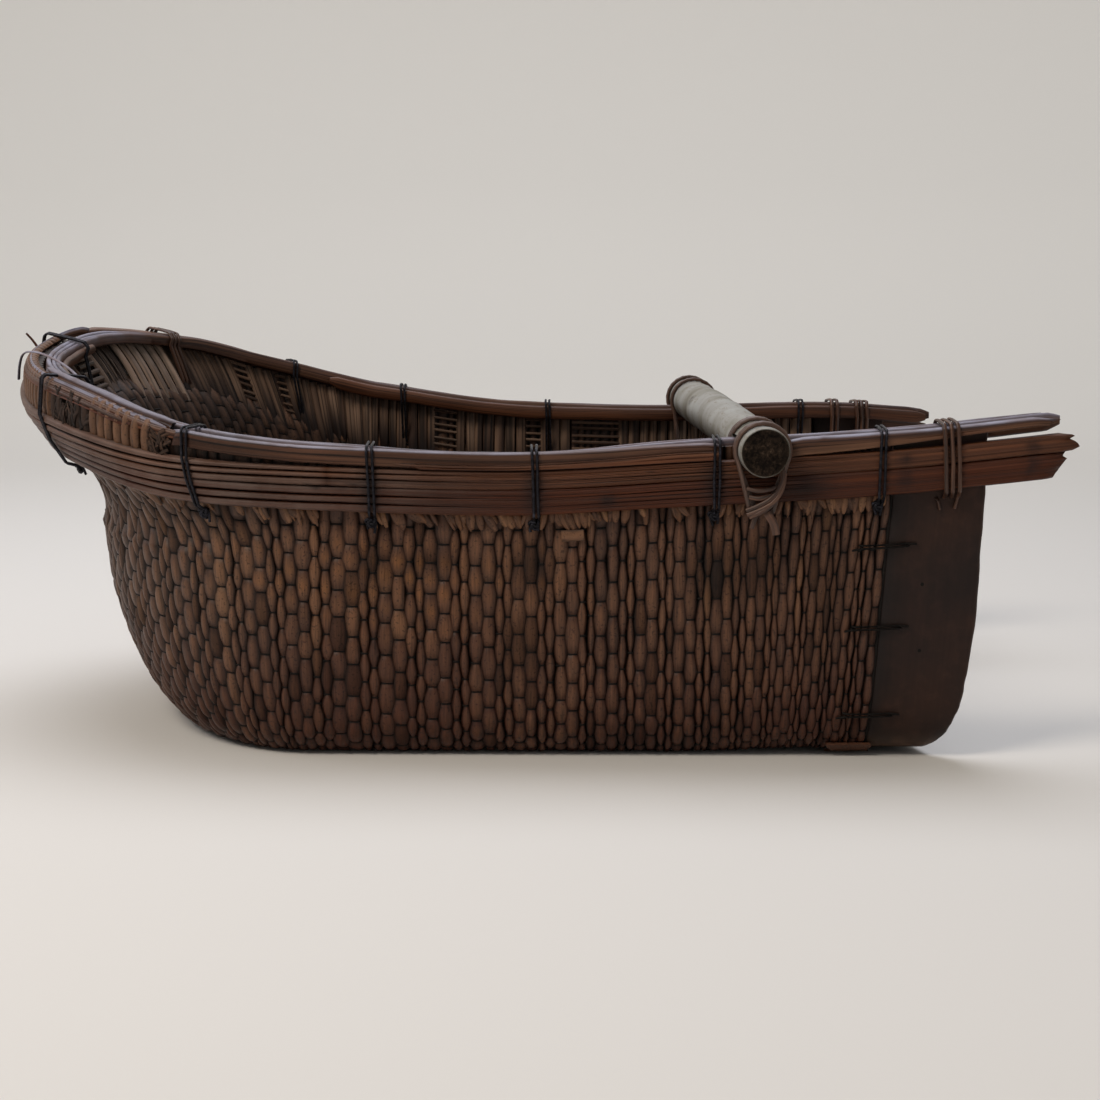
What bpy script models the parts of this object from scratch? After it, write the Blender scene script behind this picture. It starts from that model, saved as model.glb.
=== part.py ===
"""Winnowing basket: a woven willow scoop with a hooped rim, a wooden lip board and a pole handle.

The scoop is open towards +X, rests on its flat floor at Z = 0 and stands lengthways along X.
A place on the wall is given by a run (the distance along the rim, zero where the near side meets
the round back, growing towards the back and on along the far side) and by a level, which counts
the rows of the wall's profile from the middle of the floor (0) to the top of the weave (9).
"""
import math

import bmesh
import bpy
from mathutils import Matrix, Vector

MM = 0.001

# Overall sizes
overall_length = 668 * MM
overall_width = 450 * MM
rim_height = 186 * MM
back_rise = 67 * MM
back_reach = 218 * MM

# Woven body
weave_thickness = 8 * MM
weave_top_drop = 3 * MM
seam_reach = 227 * MM
seam_slope = 11 * MM
lip_lift = 2.6 * MM
lift_start = 110 * MM
lift_end = 180 * MM

# Rim strips, split from bamboo
outer_strip_height = 13 * MM
outer_strip_thickness = 6.6 * MM
splint_groove = 1.2 * MM
top_strip_height = 11 * MM
top_strip_thickness = 6.6 * MM
fold_gap = 12 * MM
inner_hoop_thickness = 9 * MM
inner_hoop_height = 11 * MM
back_splint_thickness = 4 * MM
far_strip_thickness = 4.5 * MM
far_strip_height = 9 * MM
far_strip_drop = 3 * MM
bound_splint_thickness = 4 * MM
edge_round = 1.4 * MM
broken_end_length = 7 * MM
broken_end_share = 0.55

# Places along X where strips end
upper_tip_near = 334 * MM
upper_tip_far = 318 * MM
lower_tip_near = 327 * MM
lower_tip_far = 311 * MM
inner_tip_near = 325 * MM
inner_tip_far = 316 * MM
mouth_strip_start = 163 * MM
mouth_strip_tip = 323 * MM
mouth_strip_tip_height = 5 * MM
near_strip_end = 112 * MM
far_strip_start = -157 * MM
far_strip_tip = 312 * MM
far_top_tip = 300 * MM

# Angles round the back, from the near side
near_strip_turn = math.radians(21)
back_splint_start_turn = math.radians(24)
back_splint_end_turn = math.radians(112)
bound_splint_start_turn = math.radians(40)
bound_splint_end_turn = math.radians(104)
far_top_turn = math.radians(116)

# Lip board
board_thickness = 6 * MM
board_recess = 1 * MM
board_depth = 55 * MM
board_toe = 39 * MM

# Pole handle
pole_radius_near = 14.3 * MM
pole_radius_far = 15.4 * MM
pole_length = 486 * MM
pole_x_near = 150 * MM
pole_x_far = 130 * MM
pole_z_near = 187 * MM
pole_z_far = 195 * MM
pole_edge = 1.6 * MM
pole_bow = 1.5 * MM
notch_end_room = 0.8 * MM

# Bindings
wire_radius = 0.85 * MM
wire_pitch = 2.9 * MM
cane_radius = 1.3 * MM
cane_pitch = 3.9 * MM
lashing_spread = 2.5 * MM
twine_radius = 0.9 * MM
tail_length = 5 * MM
tie_hole_drop = 6 * MM
hole_room = 1.5 * MM
stitch_to_weave = 16 * MM
stitch_to_board = 13 * MM
stitch_swing = 2.9 * MM

# Fits
piece_gap = 0.3 * MM
strip_gap = 0.55 * MM
binding_gap = 1.5 * MM
stitch_gap = 0.5 * MM
overrun = 6 * MM
weld_distance = 0.001 * MM
least_allowed_gap = 0.4 * MM
neighbour_diameters = 3
edge_angle = math.radians(35)
shell_edge_angle = math.radians(50)

# Counts
turn_steps = 24
run_steps = 7
pole_sides = 28
pole_rings = 9
arch_steps = 9
floor_edge_row = 2

# Shares of the reach or height of the profile's rows, from the floor's middle to the top
side_reach_shares = (0, 0.5, 0.835, 0.93, 0.957, 0.97, 0.981, 0.99, 0.998, 1)
back_reach_shares = (0, 0.27, 0.475, 0.61, 0.69, 0.745, 0.772, 0.91, 0.994, 0.982)
side_height_shares = (0, 0, 0, 0.085, 0.26, 0.54, 0.79)
back_height_shares = (0, 0, 0, 0.13, 0.29, 0.47, 0.68)
board_front_shares = (1, 0.95, 0.78, 0.43, 0.21, 0.08, 0.03, 0.01, 0, 0)
board_lift_rows = (3, 6)

# Rise of the rim above its lowest place, from the near tip round the back to the far tip
rim_rise_shares = (
    0.35, 0.18, 0.08, 0, 0.06, 0.2, 0.5, 0.68, 0.85,
    1, 0.91, 0.62, 0.33, 0.11, 0.06, 0.1, 0.01,
)
# Share of the fold gap that opens between the outer hoops and the top of the weave
fold_shares = (0, 0, 0, 0, 0.1, 0.5, 1, 0.95, 0.35, 0, 0, 0, 0, 0, 0, 0, 0)
knots_per_run = 4
knots_round_back = 8
# Section of a wide outer strip up its height: edges, crests and grooves of its three splints
splint_edge_share = 0.07
crest_shares = (0.93, 0.74, 0.6, 0.4, 0.26)
groove_shares = (0.667, 0.333)

# Rows of the profile that carry the rim
row_band_low = 7
row_band_top = 8
row_top = 9
wall_levels = (0, 2, 2.5, 3, 3.5, 4, 5, 6, 6.5, 7, 7.5, 8, 8.5, 9)
board_levels = (0, 2, 2.5, 3, 3.5, 4, 5, 6, 7, 8, 9)

# Places of bindings along X, some of them told from the seam, and round the back as angles
near_mouth_tie_gap = 9 * MM
far_mouth_tie_gap = 13 * MM
near_lashing_reach = 32 * MM
far_lashing_reaches = (14 * MM, 35 * MM)
near_tie_places = (seam_reach - near_mouth_tie_gap, 122 * MM, 17 * MM, -79 * MM)
far_tie_places = (-94 * MM, 19 * MM, seam_reach - far_mouth_tie_gap)
near_tie_turns = (math.radians(19.5), math.radians(55))
back_tie_turns = (math.radians(97.5), math.radians(161.5))
back_wrap_turn = math.radians(131)
near_end_lashing = seam_reach + near_lashing_reach
far_end_lashings = tuple(seam_reach + reach for reach in far_lashing_reaches)
tie_turns = 2
pole_lashing_turns = 2
arch_sweep = math.radians(119)
end_lashing_turns = 3
far_lashing_turns = (2, 3)
back_wrap_turns = 3
wall_stitch_levels = (3.45, 4.83, 6.05)
floor_stitch_shares = (-0.8, -0.42, 0, 0.42, 0.8)

half_width = overall_width / 2
body_half_width = half_width - outer_strip_thickness - strip_gap
body_back_reach = back_reach - outer_strip_thickness - strip_gap
centre_x = back_reach - overall_length / 2
run_length = overall_length / 2 - centre_x
turn_length = math.pi * half_width
band_height = 2 * outer_strip_height
sample_step = 0.02


def smooth_table(values, place):
    """Value of a smooth curve through evenly spaced values, with no overshoot."""
    last = len(values) - 1
    place = min(max(place, 0.0), last)
    index = min(int(place), last - 1)
    part = place - index

    def slope(at):
        if at == 0:
            return values[1] - values[0]
        if at == last:
            return values[last] - values[last - 1]
        before = values[at] - values[at - 1]
        after = values[at + 1] - values[at]
        return 0.0 if before * after <= 0 else 2 * before * after / (before + after)

    low, high = values[index], values[index + 1]
    square, cube = part * part, part * part * part
    return (low * (2 * cube - 3 * square + 1) + high * (3 * square - 2 * cube)
            + slope(index) * (cube - 2 * square + part) + slope(index + 1) * (cube - square))


def smooth_step(low, high, value):
    part = min(max((value - low) / (high - low), 0.0), 1.0)
    return part * part * (3 - 2 * part)


def turn_of(run):
    """Angle round the back at a run, from 0 on the near side to half a turn on the far side."""
    return min(max(run / half_width, 0.0), math.pi)


def x_of(run):
    """Place along X before the reach of the back is taken off."""
    return centre_x + max(-run, 0.0) + max(run - turn_length, 0.0)


def near_run(x):
    return centre_x - x


def far_run(x):
    return turn_length + x - centre_x


def turn_run(angle):
    return angle * half_width


def rim_knot(run):
    if run < 0:
        return knots_per_run * (1 + run / run_length)
    if run > turn_length:
        return knots_per_run + knots_round_back + knots_per_run * (run - turn_length) / run_length
    return knots_per_run + knots_round_back * run / turn_length


def rim_top(run):
    return rim_height + back_rise * smooth_table(rim_rise_shares, rim_knot(run))


def band_drop(run):
    """Drop from the top of the rim to the top of the outer hoops."""
    return top_strip_height + fold_gap * smooth_table(fold_shares, rim_knot(run))


def level_at_drop(run, drop):
    """Level of the wall at a drop below the top of the rim, above the outer hoops."""
    span = band_drop(run) - weave_top_drop
    return row_band_top + (band_drop(run) - drop) / span


def wall_point(run, level):
    """Place on the outer face of the weave."""
    angle = turn_of(run)
    backness = math.sin(angle) ** 2
    shoulder = rim_top(run) - band_drop(run) - band_height
    side_heights = [share * shoulder for share in side_height_shares]
    back_heights = [share * shoulder for share in back_height_shares]
    heights = [side + (back - side) * backness for side, back in zip(side_heights, back_heights)]
    heights += [shoulder, shoulder + band_height, rim_top(run) - weave_top_drop]
    x = x_of(run) - body_back_reach * smooth_table(back_reach_shares, level) * math.sin(angle)
    y = -body_half_width * smooth_table(side_reach_shares, level) * math.cos(angle)
    fade = 1 - smooth_step(board_lift_rows[0], board_lift_rows[1], level)
    z = smooth_table(heights, level) + lip_lift * fade * smooth_step(lift_start, lift_end, x)
    return Vector((x, y, z))


def wall_normal(run, level):
    """Outward direction of the weave's outer face."""
    level = max(level, sample_step)
    up = wall_point(run, min(level + sample_step, row_top)) - wall_point(run, level - sample_step)
    reach = sample_step * half_width
    along = wall_point(run + reach, level) - wall_point(run - reach, level)
    return up.cross(along).normalized()


def off_wall(run, level, out, lift=0.0):
    """Place at a distance out from the weave's outer face, and a lift above it."""
    return wall_point(run, level) + wall_normal(run, level) * out + Vector((0, 0, lift))


def material(name, colour, roughness, metallic=0.0):
    finish = bpy.data.materials.new(name)
    finish.use_nodes = True
    shader = finish.node_tree.nodes["Principled BSDF"]
    shader.inputs["Base Color"].default_value = (*colour, 1)
    shader.inputs["Roughness"].default_value = roughness
    shader.inputs["Metallic"].default_value = metallic
    finish.diffuse_color = (*colour, 1)
    return finish


def add_object(name, data, finish):
    piece = bpy.data.objects.new(name, data)
    bpy.context.scene.collection.objects.link(piece)
    data.materials.append(finish)
    return piece


def mesh_object(name, form, finish, sharp=edge_angle):
    """Turn a bmesh into a named object, welded, facing out and shaded smooth."""
    bmesh.ops.remove_doubles(form, verts=form.verts, dist=weld_distance)
    bmesh.ops.recalc_face_normals(form, faces=form.faces)
    mesh = bpy.data.meshes.new(name)
    form.to_mesh(mesh)
    form.free()
    mesh.shade_smooth()
    mesh.set_sharp_from_angle(angle=sharp)
    return add_object(name, mesh, finish)


def add_grid(form, rows):
    """Faces between neighbouring rows of vertices, each row as long as the next."""
    for row, following in zip(rows, rows[1:]):
        for index in range(len(row) - 1):
            form.faces.new((row[index], row[index + 1], following[index + 1], following[index]))


def loft(name, rings, finish):
    """Closed solid through rings of points, capped at both ends."""
    form = bmesh.new()
    rows = [[form.verts.new(point) for point in ring] for ring in rings]
    add_grid(form, [row + row[:1] for row in rows])
    form.faces.new(rows[0])
    form.faces.new(list(reversed(rows[-1])))
    return mesh_object(name, form, finish)


def base_runs():
    """Stations that the weave and the strips share, from the near tips to the far tips."""
    near = [-run_length * (1 - step / run_steps) for step in range(run_steps)]
    back = [turn_length * step / turn_steps for step in range(turn_steps + 1)]
    far = [turn_length - run for run in reversed(near)]
    return near + back + far


def runs_between(start, end):
    """Both ends and the shared stations between them."""
    inside = [run for run in base_runs()
              if start + 2 * broken_end_length < run < end - 2 * broken_end_length]
    return [start, start + broken_end_length] + inside + [end - broken_end_length, end]


def strip(name, start, end, ring_at, finish):
    """Strip along the rim whose two ends are broken off to a smaller section."""
    rings = []
    for run in runs_between(start, end):
        ring = ring_at(run)
        if run in (start, end):
            middle = sum(ring, Vector()) / len(ring)
            ring = [middle + (point - middle) * broken_end_share for point in ring]
        rings.append(ring)
    return loft(name, rings, finish)


def grooved_ring(low_level, high_level, thickness):
    """Section of a wide outer strip: flat to the weave, split into three rounded splints."""
    middle = (low_level + high_level) / 2
    inner, outer = strip_gap, strip_gap + thickness
    crests = [(share, outer) for share in crest_shares + (splint_edge_share,)]
    grooves = [(share, outer - splint_groove) for share in groove_shares]
    face = sorted(crests + grooves, reverse=True)
    edges = [(0, inner), (0.5, inner), (1, inner), (1, outer - edge_round)]
    section = edges + face + [(0, outer - edge_round)]
    span = high_level - low_level - piece_gap / band_height

    def ring_at(run):
        return [off_wall(run, middle + (share - 0.5) * span, out) for share, out in section]
    return ring_at


def top_ring(drop_low, thickness, height_at):
    """Section of a strip on the weave's outer face near the top, with a rounded upper edge."""
    inner, outer = strip_gap, strip_gap + thickness

    def ring_at(run):
        low = min(drop_low, band_drop(run)) - piece_gap
        low_level = level_at_drop(run, low)
        lift = height_at(run) - (low - weave_top_drop)
        return [off_wall(run, low_level, inner), off_wall(run, row_top, inner, lift - edge_round),
                off_wall(run, row_top, inner + edge_round, lift),
                off_wall(run, row_top, outer - edge_round, lift),
                off_wall(run, row_top, outer, lift - edge_round),
                off_wall(run, low_level, outer),
                off_wall(run, low_level, outer - edge_round)]
    return ring_at


def inner_ring(start, thickness, drop_high, height):
    """Section of a rounded strip on the inner side of the weave, start metres in from its face."""
    def ring_at(run):
        low = drop_high + height
        low_level = level_at_drop(run, low)
        mid_level = level_at_drop(run, low - height / 2)
        high_level = min(level_at_drop(run, drop_high), row_top)
        lift = max(weave_top_drop - drop_high, 0.0)
        return [off_wall(run, low_level, -start - edge_round),
                off_wall(run, mid_level, -start),
                off_wall(run, high_level, -start, lift - edge_round),
                off_wall(run, high_level, -start - edge_round, lift),
                off_wall(run, high_level, -start - thickness + edge_round, lift),
                off_wall(run, high_level, -start - thickness, lift - edge_round),
                off_wall(run, mid_level, -start - thickness),
                off_wall(run, low_level, -start - thickness + edge_round)]
    return ring_at


def seam_x(level):
    return seam_reach - seam_slope * (1 - smooth_table(side_height_shares + (1, 1, 1), level))


def make_woven_body(finish):
    """Closed shell of the weave, open at the mouth and the top."""
    inner_runs = [run for run in base_runs()
                  if near_run(seam_reach) + overrun < run < far_run(seam_reach) - overrun]
    form = bmesh.new()
    outer_rows, inner_rows = [], []
    for level in wall_levels:
        runs = [near_run(seam_x(level))] + inner_runs + [far_run(seam_x(level))]
        outer_rows.append([form.verts.new(wall_point(run, level)) for run in runs])
        inner_rows.append([form.verts.new(off_wall(run, level, -weave_thickness)) for run in runs])
    add_grid(form, outer_rows)
    add_grid(form, inner_rows)
    add_grid(form, [outer_rows[-1], inner_rows[-1]])
    for end in (0, -1):
        outer_edge = [row[end] for row in outer_rows]
        inner_edge = [row[end] for row in inner_rows]
        add_grid(form, [outer_edge, inner_edge])
    return mesh_object("woven_body", form, finish, shell_edge_angle)


def board_front(level):
    return seam_reach + board_depth - board_toe * smooth_table(board_front_shares, level)


def make_lip_board(finish):
    """Thin wooden board bent to a U, butted against the front edge of the weave."""
    form = bmesh.new()
    face_rows = []
    for out in (-board_recess, -board_recess - board_thickness):
        rows = []
        sides = [(near_run, level) for level in reversed(board_levels)]
        sides += [(far_run, level) for level in board_levels[1:]]
        for run_of, level in sides:
            start, end = seam_x(level) + piece_gap, board_front(level)
            places = [start, (start + end) / 2, end]
            rows.append([form.verts.new(off_wall(run_of(x), level, out)) for x in places])
        add_grid(form, rows)
        face_rows.append(rows)
    outer_rows, inner_rows = face_rows
    for end in (0, -1):
        add_grid(form, [outer_rows[end], inner_rows[end]])
        add_grid(form, [[row[end] for row in outer_rows], [row[end] for row in inner_rows]])
    return mesh_object("lip_board", form, finish, shell_edge_angle)


def make_outer_hoops(upper_finish, lower_finish):
    middle = (row_band_low + row_band_top) / 2
    strip("outer_hoop_upper", near_run(upper_tip_near), far_run(upper_tip_far),
          grooved_ring(middle, row_band_top, outer_strip_thickness), upper_finish)
    strip("outer_hoop_lower", near_run(lower_tip_near), far_run(lower_tip_far),
          grooved_ring(row_band_low, middle, outer_strip_thickness), lower_finish)


def make_top_strips(finish, splint_finish):
    """Strips that cap the weave outside, each ending where the next begins."""
    full = top_strip_height - strip_gap

    def mouth_height(run):
        along = smooth_step(near_run(mouth_strip_tip), near_run(mouth_strip_start), run)
        return mouth_strip_tip_height + (full - mouth_strip_tip_height) * along

    def mouth_ring(run):
        gap = full - mouth_height(run)
        return top_ring(top_strip_height - gap, top_strip_thickness, mouth_height)(run)

    strip("mouth_top_strip", near_run(mouth_strip_tip), near_run(mouth_strip_start),
          mouth_ring, finish)
    strip("near_top_strip", near_run(near_strip_end), turn_run(near_strip_turn),
          top_ring(top_strip_height, top_strip_thickness, lambda run: full - edge_round), finish)
    strip("back_top_splint", turn_run(back_splint_start_turn), turn_run(back_splint_end_turn),
          top_ring(top_strip_height, back_splint_thickness, lambda run: full), splint_finish)
    strip("far_top_strip", turn_run(far_top_turn), far_run(far_top_tip),
          top_ring(top_strip_height, top_strip_thickness, lambda run: full - edge_round), finish)


def hoop_ring():
    start = weave_thickness + strip_gap
    return inner_ring(start, inner_hoop_thickness, 0.0, inner_hoop_height)


def hoop_top(run):
    """Height of the inner hoop's upper face."""
    return max(point.z for point in hoop_ring()(run))


def make_inner_strips(hoop_finish, splint_finish):
    """Hoop and splints on the inner side of the weave."""
    strip("inner_hoop", near_run(inner_tip_near), far_run(inner_tip_far), hoop_ring(), hoop_finish)
    second_start = weave_thickness + inner_hoop_thickness + 2 * strip_gap
    strip("far_inner_strip", far_run(far_strip_start), far_run(far_strip_tip),
          inner_ring(second_start, far_strip_thickness, far_strip_drop, far_strip_height),
          hoop_finish)
    strip("bound_splint", turn_run(bound_splint_start_turn), turn_run(bound_splint_end_turn),
          inner_ring(second_start, bound_splint_thickness, far_strip_drop,
                     2 * bound_splint_thickness), splint_finish)


def box_cutter(name, boxes):
    """Hidden cutter of separate boxes, each a matrix that places and sizes a unit cube."""
    form = bmesh.new()
    for placement in boxes:
        bmesh.ops.create_cube(form, size=1, matrix=placement)
    mesh = bpy.data.meshes.new(name)
    form.to_mesh(mesh)
    form.free()
    cutter = bpy.data.objects.new(name, mesh)
    bpy.context.scene.collection.objects.link(cutter)
    cutter.hide_render = True
    cutter.display_type = "WIRE"
    return cutter


def cut(piece, cutter):
    step = piece.modifiers.new("cut_" + cutter.name, "BOOLEAN")
    step.operation = "DIFFERENCE"
    step.solver = "EXACT"
    step.object = cutter


def wall_box(run, level, along, up, through):
    """Box through the wall at a place, sized along the rim, up the wall and through it."""
    out_way = wall_normal(run, level)
    reach = sample_step * half_width
    along_way = (wall_point(run + reach, level) - wall_point(run - reach, level)).normalized()
    up_way = along_way.cross(out_way).normalized()
    middle = wall_point(run, level) - out_way * weave_thickness / 2
    turn = Matrix((along_way, out_way, up_way)).transposed().to_4x4()
    return Matrix.Translation(middle) @ turn @ Matrix.Diagonal((along, through, up, 1))


def pole_centre(share):
    """Middle of the pole, from 0 at its near end to 1 at its far end."""
    bow = pole_bow * math.sin(math.pi * share)
    return Vector((pole_x_near + (pole_x_far - pole_x_near) * share,
                   (share - 0.5) * pole_length,
                   pole_z_near + (pole_z_far - pole_z_near) * share + bow))


def pole_radius(share):
    return pole_radius_near + (pole_radius_far - pole_radius_near) * share


def pole_share(y):
    return y / pole_length + 0.5


def lashing_depth(side):
    """Distance from the weave's outer face to the inmost strip that a pole lashing clears."""
    depth = weave_thickness + strip_gap + inner_hoop_thickness
    return depth + (strip_gap + far_strip_thickness if side > 0 else 0.0)


def make_pole(finish):
    """Round pole with an eased edge at each end and a saddle notch over each rim."""
    edge_share = pole_edge / pole_length
    shares = [0, edge_share]
    shares += [edge_share + (1 - 2 * edge_share) * step / pole_rings for step in range(1, pole_rings)]
    shares += [1 - edge_share, 1]
    rings = []
    for share in shares:
        inset = pole_edge if share in (0, 1) else 0.0
        radius = pole_radius(share) - inset
        middle = pole_centre(share)
        ring = []
        for side in range(pole_sides):
            angle = 2 * math.pi * side / pole_sides
            ring.append(middle + Vector((math.cos(angle), 0, math.sin(angle))) * radius)
        rings.append(ring)
    pole = loft("pole_handle", rings, finish)
    boxes = []
    for side, run_of in ((-1, near_run), (1, far_run)):
        outer = side * (half_width + notch_end_room)
        inner = side * (body_half_width - lashing_depth(side) - notch_end_room)
        share = pole_share(side * body_half_width)
        x, radius = pole_centre(share).x, pole_radius(share)
        top = max(hoop_top(run_of(x + radius)), hoop_top(run_of(x - radius)))
        top += strip_gap + piece_gap
        low = min(pole_z_near, pole_z_far) - 2 * radius
        boxes.append(Matrix.Translation((x, (outer + inner) / 2, (top + low) / 2))
                     @ Matrix.Diagonal((4 * radius, abs(outer - inner), top - low, 1)))
    cut(pole, box_cutter("pole_notch_cutter", boxes))
    return pole


def least_gap(points, radius):
    """Least distance between stretches of a tube that aren't neighbours, less its diameter."""
    lengths = [0.0]
    for one, other in zip(points, points[1:]):
        lengths.append(lengths[-1] + (other - one).length)
    least = math.inf
    for first in range(len(points)):
        for second in range(first + 1, len(points)):
            if lengths[second] - lengths[first] > neighbour_diameters * 2 * radius:
                least = min(least, (points[second] - points[first]).length)
    return least - 2 * radius


def tube(name, points, radius, finish):
    """Unbroken round tube along a list of points."""
    data = bpy.data.curves.new(name, "CURVE")
    data.dimensions = "3D"
    spline = data.splines.new("POLY")
    spline.points.add(len(points) - 1)
    for slot, point in zip(spline.points, points):
        slot.co = (*point, 1)
    data.bevel_depth = radius
    data.bevel_resolution = 1
    data.use_fill_caps = True
    gap = least_gap(points, radius)
    note = "clear" if gap > least_allowed_gap else "too close"
    print(f"{name}: least gap to itself {gap / MM:.2f} mm, {note}")
    return add_object(name, data, finish)


def rim_route(radius, recess):
    """Loop of a binding round the rim: up outside, over the hoops, down inside, through the wall.
    It is seated below the hoops on a face that lies back by the recess."""
    room = binding_gap + radius
    seat = piece_gap + radius - recess
    outside = strip_gap + outer_strip_thickness + room

    def route(run):
        inner_depth = weave_thickness + strip_gap + inner_hoop_thickness
        if run > far_run(far_strip_start) - overrun:
            inner_depth += strip_gap + far_strip_thickness
        if turn_run(bound_splint_start_turn) < run < turn_run(bound_splint_end_turn) + overrun:
            inner_depth += strip_gap + bound_splint_thickness
        low = hole_level(run)
        hoop_low = level_at_drop(run, min(inner_hoop_height + 2 * radius, band_drop(run)))
        corners = [off_wall(run, low, seat),
                   off_wall(run, row_band_low, outside),
                   off_wall(run, (row_band_low + row_band_top) / 2, outside),
                   off_wall(run, row_band_top, outside),
                   off_wall(run, row_top, outside, weave_top_drop),
                   off_wall(run, row_top, 0.0, weave_top_drop + room + radius),
                   off_wall(run, row_top, -inner_depth / 2, weave_top_drop + room + radius),
                   off_wall(run, row_top, -inner_depth, weave_top_drop + room),
                   off_wall(run, row_top, -inner_depth - room),
                   off_wall(run, hoop_low, -inner_depth - room),
                   off_wall(run, (low + row_band_low) / 2, -weave_thickness - room),
                   off_wall(run, low, -weave_thickness - room / 2),
                   off_wall(run, low, -weave_thickness / 2)]
        return corners
    return route


def hole_level(run):
    """Level of the holes that bindings pass through, just under the outer hoops."""
    height = rim_top(run) - band_drop(run) - band_height
    row_height = height * (1 - side_height_shares[-1])
    return row_band_low - tie_hole_drop / row_height


def winding(name, middle, turns, radius, pitch, recess, finish):
    """Binding wound round the rim as one tube, with both tails left outside under the hoops."""
    route = rim_route(radius, recess)
    count = len(route(middle))
    points = []
    for step in range(turns * count + 1):
        run = middle + (step / count - turns / 2) * pitch
        points.append(route(run)[step % count])
    for end, side in ((0, -1), (-1, 1)):
        run = middle + side * turns / 2 * pitch
        level = hole_level(run)
        way = (wall_point(run, level - sample_step) - wall_point(run, level)).normalized()
        tail = points[end] + way * tail_length
        points = [tail] + points if end == 0 else points + [tail]
    return tube(name, points, radius, finish)


def binding_hole(middle, turns, radius, pitch):
    """Box for the hole that a winding passes through."""
    along = (turns - 1) * pitch + 2 * radius + 2 * hole_room + pitch
    up = 2 * radius + 2 * hole_room
    return wall_box(middle, hole_level(middle), along, up, weave_thickness + 2 * overrun)


def rim_bindings():
    """Name, run, turns, kind and place of every binding wound round the rim."""
    rows = []
    near = [near_run(x) for x in near_tie_places] + [turn_run(angle) for angle in near_tie_turns]
    far = [turn_run(angle) for angle in back_tie_turns] + [far_run(x) for x in far_tie_places]
    for index, run in enumerate(near + far):
        rows.append((f"rim_tie_{index + 1:02d}", run, tie_turns, "wire", "body"))
    rows.append(("back_wrap", turn_run(back_wrap_turn), back_wrap_turns, "cane", "body"))
    rows.append(("near_end_lashing", near_run(near_end_lashing), end_lashing_turns, "cane", "board"))
    for index, (x, turns) in enumerate(zip(far_end_lashings, far_lashing_turns)):
        rows.append((f"far_end_lashing_{index + 1}", far_run(x), turns, "cane", "board"))
    return rows


def make_rim_bindings(wire_finish, cane_finish):
    """All windings round the rim, and the boxes of the holes they pass through."""
    boxes = {"body": [], "board": []}
    for name, run, turns, kind, carrier in rim_bindings():
        wire = kind == "wire"
        radius = wire_radius if wire else cane_radius
        pitch = wire_pitch if wire else cane_pitch
        recess = board_recess if carrier == "board" else 0.0
        winding(name, run, turns, radius, pitch, recess, wire_finish if wire else cane_finish)
        boxes[carrier].append(binding_hole(run, turns, radius, pitch))
    return boxes


def pole_lashing(name, side, turns, finish):
    """Cane that binds the pole down: over it outside the rim, through the weave under the hoops,
    over it again inside the rim, and out through the weave for the next turn."""
    run_of = near_run if side < 0 else far_run
    run = run_of(pole_centre(pole_share(side * half_width)).x)
    low = hole_level(run)
    out_y = half_width + cane_radius + binding_gap
    in_y = body_half_width - lashing_depth(side) - cane_radius - binding_gap
    room = cane_radius + binding_gap

    def foot(offset, out):
        return off_wall(run, low, out) + Vector((offset, 0, 0))

    def arch(y, way):
        """Points over the pole, starting on its low X side where way is 1."""
        share = pole_share(side * y)
        reach = (pole_radius(share) + cane_radius + piece_gap) / math.cos(arch_sweep / arch_steps)
        points = []
        for step in range(arch_steps + 1):
            angle = arch_sweep * (1 - 2 * step / arch_steps) * way
            points.append(pole_centre(share)
                          + Vector((-math.sin(angle) * reach, 0, math.cos(angle) * reach)))
        return points

    def leg(top, low_end):
        """Point on the way down inside that stays clear of the inner hoop."""
        hoop_low = wall_point(run, level_at_drop(run, inner_hoop_height + 2 * cane_radius)).z
        clear_z = min(hoop_low, top.z - cane_radius)
        point = top.lerp(low_end, (top.z - clear_z) / (top.z - low_end.z))
        return Vector((point.x, top.y, point.z))

    corners = [foot(-lashing_spread, out_y - body_half_width) - Vector((0, 0, tail_length)),
               foot(-lashing_spread, out_y - body_half_width)]
    for turn in range(turns):
        offset = lashing_spread + turn * cane_pitch
        outside = out_y + turn * cane_pitch
        inside = -weave_thickness - room - turn * cane_pitch
        over_in = arch(in_y - turn * cane_pitch, -1)
        foot_in, foot_back = foot(offset, inside), foot(-offset - cane_pitch, inside)
        corners += arch(outside, 1)
        corners += [foot(offset, outside - body_half_width), foot(offset, 0.0), foot_in]
        corners.append(leg(over_in[0], foot_in))
        corners += over_in
        corners += [leg(over_in[-1], foot_back), foot_back]
        if turn < turns - 1:
            corners += [foot(-offset - cane_pitch, 0.0),
                        foot(-offset - cane_pitch, outside + cane_pitch - body_half_width)]
    corners.append(corners[-1] - Vector((0, 0, tail_length)))
    tube(name, corners, cane_radius, finish)
    wide = 2 * (lashing_spread + turns * cane_pitch + hole_room)
    tall = 2 * (cane_radius + hole_room)
    return wall_box(run, low, wide, tall, weave_thickness + 2 * overrun)


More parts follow.
